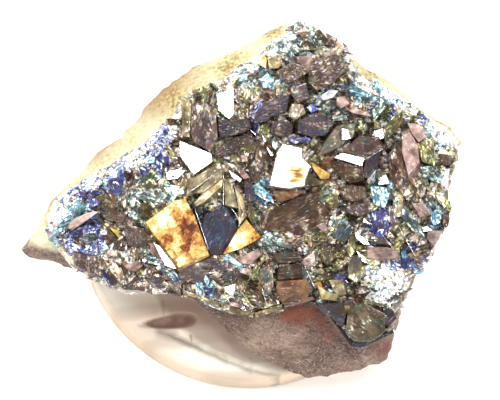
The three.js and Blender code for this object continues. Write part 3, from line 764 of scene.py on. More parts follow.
def crystal_material(name, body, per_mm, shades, clearness, slope, roughness, hues, sparks):
    """A see-through crystal with an absorbing body, clouded inside. Large cells are its shards,
    and stretched cells along the growth axis its chips, which carry a painted sparkle only in patches.
    With s = cloud + tone + shard / 4 the colour is hue * dark * (0.7 to 3.4 by s) and, in the patches,
    a painted sparkle of spark hue * light * (s + 0.55 chip - 0.4)^4 on top. Chips over the white level
    turn white as painted highlights, together with the flaws."""
    dark, light, white_from = shades
    material, add, shader, _ = new_material(name)
    growth = add("Attribute", attribute_name="growth").outputs["Vector"]
    tone = add("Attribute", attribute_name="tone").outputs["Fac"]
    cloud = add("TexNoise", growth, Scale=CLOUDS_PER_MM, Detail=6.0, Roughness=0.6)
    bent = add("VectorMath", cloud.outputs["Color"], (CLOUD_BEND,) * 3, growth, operation="MULTIPLY_ADD")
    fine = add("Mapping", bent, Scale=(CHIPS_PER_MM, CHIPS_PER_MM, CHIPS_PER_MM / 2))
    coarse = add("Mapping", growth, Scale=(SHARDS_PER_MM,) * 3)
    chips = add("TexVoronoi", fine, Scale=1.0)
    shards = add("TexVoronoi", coarse, Scale=1.0)
    chip = add("SeparateColor", chips.outputs["Color"])
    shard = add("SeparateColor", shards.outputs["Color"])
    drift = add("SeparateColor", cloud.outputs["Color"])

    leaning = add("Math", tone, 0.6, drift.outputs["Blue"], operation="MULTIPLY_ADD")
    patch = add("MapRange", leaning, 0.44, 0.54, PATCH_LEAST)
    toned = add("Math", cloud, tone, operation="ADD")
    smooth = add("Math", shard, 0.25, toned, operation="MULTIPLY_ADD")
    glow = add("MapRange", smooth, 0.35, 0.95, GLOW_LEAST * dark, GLOW_MOST * dark)
    spread = add("Math", drift.outputs["Green"], 2.2, -0.6, operation="MULTIPLY_ADD")
    hue = set_ramp(add("ValToRGB", spread), hues)
    calm = add("VectorMath", hue, Scale=glow, operation="SCALE")

    level = add("Math", chip, CHIP_SHARE, smooth, operation="MULTIPLY_ADD")
    held = add("MapRange", level, SPARK_FROM, SPARK_FROM + 1)
    steep = add("Math", held, SPARK_POWER, operation="POWER")
    lit = add("Math", steep, light, operation="MULTIPLY")
    patched = add("Math", lit, patch, operation="MULTIPLY")
    spark = set_ramp(add("ValToRGB", chip.outputs["Green"]), sparks)
    colour = add("VectorMath", spark, patched, calm, operation="MULTIPLY_ADD")

    # Painted highlight: where the painted sparkle runs past the white level, the chips turn white
    bright = add("MapRange", held, white_from, white_from + WHITE_STEP)
    burst = add("Math", bright, patch, operation="MULTIPLY")
    white = flaws_and_painted_glints(add, growth, chips, chip, burst)
    with_flaws_and_glints = add("Mix", data_type="RGBA", Factor=white, A=colour, B=FLAW_AND_GLINT_WHITE)
    sheer = add("Math", white, -clearness, clearness, operation="MULTIPLY_ADD")
    bump = chip_bump(add, chips, fine, slope, patch)
    feed(shader, {"Base Color": with_flaws_and_glints, "Transmission Weight": sheer, "IOR": LAZULITE_IOR,
                  "Roughness": roughness, "Normal": bump})
    absorb = add("VolumeAbsorption", Color=linear(body), Density=per_mm / MM)
    feed(material.node_tree.nodes["Material Output"], {"Volume": absorb})
    return material


print("clouds are", round(1 / CLOUDS_PER_MM, 2), "mm wide and shards", round(1 / SHARDS_PER_MM, 2), "mm")

# %% [markdown]
# The finishes differ in their two ramps, in how dark the body is and how bright the chips, and
# in how far the chips lean.

# %% Crystal finishes
PALE_SPARKS = "0 #f0e8d8 0.5 #d8c8a8 1 #fffff8"
CRYSTAL_LOOKS = [
    # finish, kind of lazulite, body, absorption per mm, (dark, light, white from), clearness, slope
    # of the chips, roughness, hues of the body, hues of the sparks
    ("smoky", "smoky", "#80605a", 0.7, (0.2, 4.6, 0.82), 0.4, 0.3, 0.03,
     "0.06 #5c4c68 0.2 #745054 0.42 #7c4c40 0.58 #885c44 0.7 #786c4c 0.85 #5c7470",
     "0 #d0b494 0.3 #8c9c8c 0.45 #b08858 0.6 #f0e8d8 0.7 #5c74b4 0.85 #a09454 1 #e8e0c8"),
    ("drab", "drab", "#80705c", 0.6, (0.44, 2.0, 0.9), 0.3, 0.15, 0.03,
     "0.3 #54604c 0.5 #746448 0.7 #7c6454", PALE_SPARKS),
    ("rose", "rose", "#a07870", 0.5, (0.5, 1.0, 0.9), 0.2, 0.1, 0.1,
     "0.3 #84645c 0.5 #a0847c 0.7 #b49890", PALE_SPARKS),
    ("blue", "blue", "#3038a0", 0.8, (0.28, 4.0, 0.74), 0.4, 0.4, 0.03,
     "0.3 #40549c 0.5 #403c94 0.7 #543c6c",
     "0 #3c48b4 0.25 #4c68cc 0.4 #68a4d8 0.55 #e8f4fc 0.8 #6c60b0 1 #94c0e0"),
    ("ink", "inky", "#2c2c60", 0.9, (0.24, 4.6, 0.8), 0.4, 0.3, 0.03,
     "0.25 #305868 0.42 #302c6c 0.55 #4c2848 0.7 #643c34",
     "0 #4850b8 0.4 #7878b8 0.7 #98b4cc 1 #e0ecff"),
    ("cyan", "cyan", "#3890c8", 0.6, (0.34, 5.0, 0.7), 0.4, 0.4, 0.03,
     "0.3 #40689c 0.5 #4888a0 0.7 #688c88", "0 #50a8dc 0.3 #84d0dc 0.5 #f4fcf4 0.8 #b8e4e0 1 #4c84d0"),
    ("teal", "teal", "#3c7878", 0.7, (0.22, 4.2, 0.78), 0.4, 0.35, 0.03,
     "0.25 #504c60 0.45 #507070 0.6 #70604c 0.8 #5c7864",
     "0 #74ac9c 0.3 #a0b8a0 0.5 #f0f4e8 0.8 #709cb4 1 #d0dcc0"),
    ("olive", "olive", "#8c8854", 0.6, (0.22, 4.2, 0.8), 0.4, 0.3, 0.03,
     "0.25 #5c7464 0.4 #706c3c 0.6 #84603c 0.8 #948c44",
     "0 #a8b060 0.4 #d0c074 0.6 #80a878 0.8 #f0e8a0 1 #f0f0d0"),
    ("amber", "iron_stained", "#f0a830", 0.4, (0.5, 2.4, 0.86), 0.4, 0.3, 0.03,
     "0.25 #a85c18 0.45 #d0902c 0.6 #e8c050 0.8 #f8e498", PALE_SPARKS),
    ("honey", "honey", "#d8c890", 0.3, (0.36, 3.2, 0.8), 0.4, 0.3, 0.03,
     "0.25 #806850 0.45 #9c885c 0.6 #b8a874 0.8 #d8cc98", PALE_SPARKS),
    ("straw", "straw", "#e8d8a0", 0.3, (0.48, 2.6, 0.84), 0.5, 0.2, 0.03,
     "0.3 #b8905c 0.5 #d8bc78 0.7 #ecdca0", PALE_SPARKS),
    ("tan", "tan", "#b09070", 0.4, (0.4, 2.0, 0.84), 0.3, 0.2, 0.03,
     "0.3 #986440 0.7 #b08858", PALE_SPARKS),
    ("clear", "clear", "#dcd0b4", 0.3, (0.3, 2.0, 0.85), 0.6, 0.03, 0.02,
     "0.3 #908468 0.7 #b8ac88", PALE_SPARKS),
    ("sugar", "sugary", "#e0e0f0", 0.3, (0.3, 2.6, 0.6), 0.15, 0.3, 0.1,
     "0.2 #a4a0d8 0.35 #d8dcec 0.75 #f4f4ec", "0 #a09cc8 0.3 #f4f4fc 1 #ffffff"),
]
FINISHES = {}
for finish, kind, *looks in CRYSTAL_LOOKS:
    FINISHES[finish] = crystal_material(f"{kind}_lazulite", *looks)
print(len(FINISHES), "crystal finishes")

# %% [markdown]
# Two finishes more are for a few large facets. The first is a window with iron-stained flakes
# inside, from rust to gold to white. Spots make it lighter or darker at chosen places.

# %% Window with iron-stained flakes
# Each row is u, v, w on the face, radius, how much lighter (plus) or darker (minus)
WINDOW_SPOTS = table("""
    -5.35,-1.25,3.1,0.65,0.45 -4.9,-0.6,3.1,1.1,0.14 -5.7,-1.9,3.1,1,0.1 -4.1,-1.4,3.1,0.9,-0.18
    -3.5,-2.4,3.1,1.1,-0.14 -5.05,-2.45,3.1,0.4,-0.22 -4.8,-3.5,3.1,0.9,0.06 -4.2,-4.1,3.1,0.6,0.1
    -4,-0.4,3.1,0.8,0.16 -0.6,-2.4,2.7,0.8,0.4 -1.1,-3.05,2.7,0.5,0.3 0.1,-1.7,2.7,0.6,-0.08
""")
WINDOW_HUES = "0.26 #582a12 0.36 #8c4a1c 0.43 #ac7434 0.5 #c89c50 0.6 #e0c070 0.7 #f4e098 0.8 #ffffe8"
# The width of each size of flakes in mm, and its share in the colour
FLAKES = ((0.55, 0.24), (0.25, 0.18), (0.1, 0.12))
WINDOW_CLEARNESS = 0.3


def window_material():
    """A glassy window with iron-stained flakes inside: a cloud and three sizes of flakes go up
    a ramp from rust to gold to white."""
    material, add, shader, place = new_material("iron_stained_window")
    cloud = add("TexNoise", place, Scale=per(0.8), Detail=9.0, Roughness=0.75)
    bent = add("VectorMath", cloud.outputs["Color"], (0.6 * MM,) * 3, place, operation="MULTIPLY_ADD")
    level = add("Math", cloud, 0.8, -0.19, operation="MULTIPLY_ADD")
    for size, share in FLAKES:
        flakes = add("TexVoronoi", bent, Scale=per(size))
        flake = add("SeparateColor", flakes.outputs["Color"])
        level = add("Math", flake, share, level, operation="MULTIPLY_ADD")
    level = add("Math", level, spots_mask(add, place, WINDOW_SPOTS), operation="ADD")
    colour = set_ramp(add("ValToRGB", level), WINDOW_HUES)
    bump = add("Bump", Strength=0.3, Distance=0.02 * MM, Height=cloud)
    feed(shader, {"Base Color": colour, "Transmission Weight": WINDOW_CLEARNESS,
                  "IOR": LAZULITE_IOR, "Roughness": 0.05, "Normal": bump})
    return material


FINISHES["window"] = window_material()
print(len(WINDOW_SPOTS), "spots in the window")

# %% [markdown]
# The second is clear and mirrors the light, but its face has a gold and brown stain, which takes
# away its gloss where it lies.

# %% Stained facet
# Each row is u, v, w on the face, radius, how much of the stain
STAIN_SPOTS = table("""
    2.9,1.5,3.3,1.1,0.6 2.6,2.85,3.3,0.5,0.5 2.6,1.9,3.3,0.35,0.24 3.05,1.75,3.3,0.4,0.3
    2.65,1.2,3.3,0.4,0.3
""")
STAIN_HUES = "0.54 #fffce8 0.66 #f8ecb4 0.8 #e8c478 0.9 #a87438 1 #70481c"
STAIN_CLEARNESS = 0.8
STAIN_DULLNESS = 0.8
GLOSS = 0.02


def stained_material():
    """A clear crystal whose face is stained at given spots, where it is dull and not clear."""
    material, add, shader, place = new_material("stained_clear_lazulite")
    brushed = add("Mapping", place, Rotation=(0, 0, 0.25), Scale=(0.6, 2.6, 1.0))
    cloud = add("TexNoise", brushed, Scale=per(0.5), Detail=6.0, Roughness=0.7)
    uneven = add("Math", cloud, 1.4, -0.4, operation="MULTIPLY_ADD")
    level = add("Math", uneven, spots_mask(add, place, STAIN_SPOTS), operation="ADD")
    stain = add("MapRange", level, 0.5, 0.6)
    tone = set_ramp(add("ValToRGB", level), STAIN_HUES)
    colour = add("Mix", data_type="RGBA", Factor=stain, A=linear("#f0e8d8"), B=tone)
    clear = add("Math", stain, -STAIN_CLEARNESS, STAIN_CLEARNESS, operation="MULTIPLY_ADD")
    dull = add("Math", stain, STAIN_DULLNESS, GLOSS, operation="MULTIPLY_ADD")
    feed(shader, {"Base Color": colour, "Transmission Weight": clear, "Roughness": dull,
                  "IOR": LAZULITE_IOR})
    return material


FINISHES["stained"] = stained_material()
print(len(FINISHES), "finishes with the window and the stained facet")

# %% [markdown]
# ## The ground of the crust
#
# Between the crystals lies massive lazulite, dark and granular. It is swept by angle and radius,
# with a flat underside, and closes every gap that the crystals leave, which saves thousands of
# crystals that would hardly show. In places along the edge it swells to mounds, which are
# covered with sugary grains.

# %% Sugary patches
# Each row is u, v, radius, share of blue
SUGAR_PATCHES = table("""
    -12.4,-1.3,0.8,0.1 -12.1,-0.7,0.8,0.2 -11.2,0.2,0.8,0.3 -9.9,1,0.7,0.5 -8.3,2.1,1,0.1 -7,2.8,0.9,0.3
    -6.2,3.5,1.1,0.95 -5.2,4.3,0.8,0.6 -4.6,5.3,0.6,0.1 -2.9,6.9,0.6,0.1 -1.2,7.7,0.5,0.1
    1.5,9.2,0.5,0.1 0.3,8.7,0.5,0.3 2.5,10.3,0.5,0.3 4.3,10.2,0.5,0.3 7.2,7.2,0.7,0.5 8.8,6.6,0.8,0.6
    9.8,5.8,0.8,0.6 11.2,4.6,1,0.5 12.2,3.7,0.9,0.5 12.3,1.4,0.7,0.1 8.3,-4.8,1.4,0.1 8,-5.9,0.9,0.1
    9.4,-5.2,0.8,0.4
""")
SUGAR_FADE = 0.3


def in_sugar(u, v):
    """How deep a spot lies in the sugary patches: 1 well inside one, 0 outside them all."""
    gaps = np.hypot(u[..., None] - SUGAR_PATCHES[:, 0], v[..., None] - SUGAR_PATCHES[:, 1])
    return np.clip((SUGAR_PATCHES[:, 2] - gaps) / SUGAR_FADE, 0, 1).max(axis=-1)


def blue_share_at(spots):
    """The share of blue grains in the sugary patch that is nearest to each spot."""
    to_patches = np.linalg.norm(spots[:, None] - SUGAR_PATCHES[None, :, :2], axis=2)
    return SUGAR_PATCHES[to_patches.argmin(axis=1), 3]


print(len(SUGAR_PATCHES), "sugary patches")

# %% [markdown]
# The form of the ground is a height over each place of the face. The crystals that are placed
# later ask for the same height, so that each stands on it.

# %% Shape of the ground
GROUND_AROUND = 360
GROUND_RINGS = 90
CRUST_EDGE_THICKNESS = 0.75
CRUST_DOME = 0.55
DOME_HALF_U, DOME_HALF_V = 13, 9
SUGAR_MOUND = 0.4
BUMP_HEIGHT, BUMP_SIZE = 0.2, 1.1
EDGE_FADE = 14
RIM_THICKNESS = 0.3
# Shares of the crust's reach: its rim, its underside and the small ring in the middle
RIM_REACH, FOOT_REACH, GROUND_HUB = 0.985, 0.955, 0.01


def ground_height(u, v):
    """Thickness over the underside: thin at the edge, domed by the square of the distance."""
    from_middle = np.minimum(1, np.hypot(u / DOME_HALF_U, v / DOME_HALF_V))
    return CRUST_GAP + CRUST_EDGE_THICKNESS + CRUST_DOME * (1 - from_middle ** 2)


def ground_surface(u, v):
    """The domed ground with its bumps, which die out towards the crust's edge."""
    share = np.hypot(u, v) / reach_of(CRUST_EDGE, np.arctan2(v, u))
    inside = np.clip((1 - share) * EDGE_FADE, 0, 1)
    bumps = BUMP_HEIGHT * rough_noise(np.stack([u, v, 0 * u], -1), BUMP_SIZE, 4, seed=5)
    mound = SUGAR_MOUND * in_sugar(u, v)
    return (ground_height(u, v) + bumps + mound) * inside + (CRUST_GAP + RIM_THICKNESS) * (1 - inside)


def ground_points():
    """Rings of the crust's outline, shrunk towards the middle and lifted to the ground."""
    angle = np.linspace(0, 2 * math.pi, GROUND_AROUND, endpoint=False)[None, :]
    reach = reach_of(CRUST_EDGE, angle)
    share = np.linspace(RIM_REACH, GROUND_HUB, GROUND_RINGS)[:, None]
    top = swept(share * reach, angle, 0)
    top[..., 2] = ground_surface(top[..., 0], top[..., 1])
    foot_share = np.array([GROUND_HUB, FOOT_REACH])[:, None]
    return np.concatenate([swept(foot_share * reach, angle, CRUST_GAP), top])


ground_shape = ground_points()
print("ground up to", round(ground_shape[..., 2].max(), 2), "mm out of the face")

# %% [markdown]
# Massive lazulite is a mosaic of small grains. Its cells of 0.4 mm take their colour from a
# ramp, and the mounds are whitened through the tone of each face.

# %% Ground material
def ground_material():
    """Massive lazulite: interlocking grains of brown, tan, blue and teal, half glossy."""
    material, add, shader, place = new_material("massive_lazulite")
    cloud = add("TexNoise", place, Scale=per(0.6), Detail=2.0)
    bent = add("VectorMath", cloud.outputs["Color"], (0.6 * MM,) * 3, place, operation="MULTIPLY_ADD")
    cells = add("TexVoronoi", bent, Scale=per(0.42))
    grains = set_ramp(add("ValToRGB", cells.outputs["Color"]),
                      "0.1 #54403a 0.3 #705c50 0.42 #404878 0.5 #907e6c 0.6 #58463c 0.7 #b8a890 "
                      "0.8 #48707c 0.9 #e8e0d0")
    tone = add("Attribute", attribute_name="tone").outputs["Fac"]
    sugared = add("Mix", data_type="RGBA", Factor=tone, A=grains, B=linear("#f8f8f4"))
    bump = add("Bump", Strength=0.8, Distance=0.2 * MM, Height=cells)
    feed(shader, {"Base Color": sugared, "Roughness": 0.25, "IOR": LAZULITE_IOR, "Normal": bump})
    return material


ground_faces = ring_faces(len(ground_shape), GROUND_AROUND)
flat_ground = ground_shape.reshape(-1, 3)
ground_middles = np.array([flat_ground[face].mean(axis=0) for face in ground_faces])
whiteness = in_sugar(*ground_middles[:, :2].T) * (1 - blue_share_at(ground_middles[:, :2]))
add_piece("crust_ground", face_to_part(flat_ground), ground_faces, ground_material(),
          "crystal_crust", growth=flat_ground, tone=whiteness)
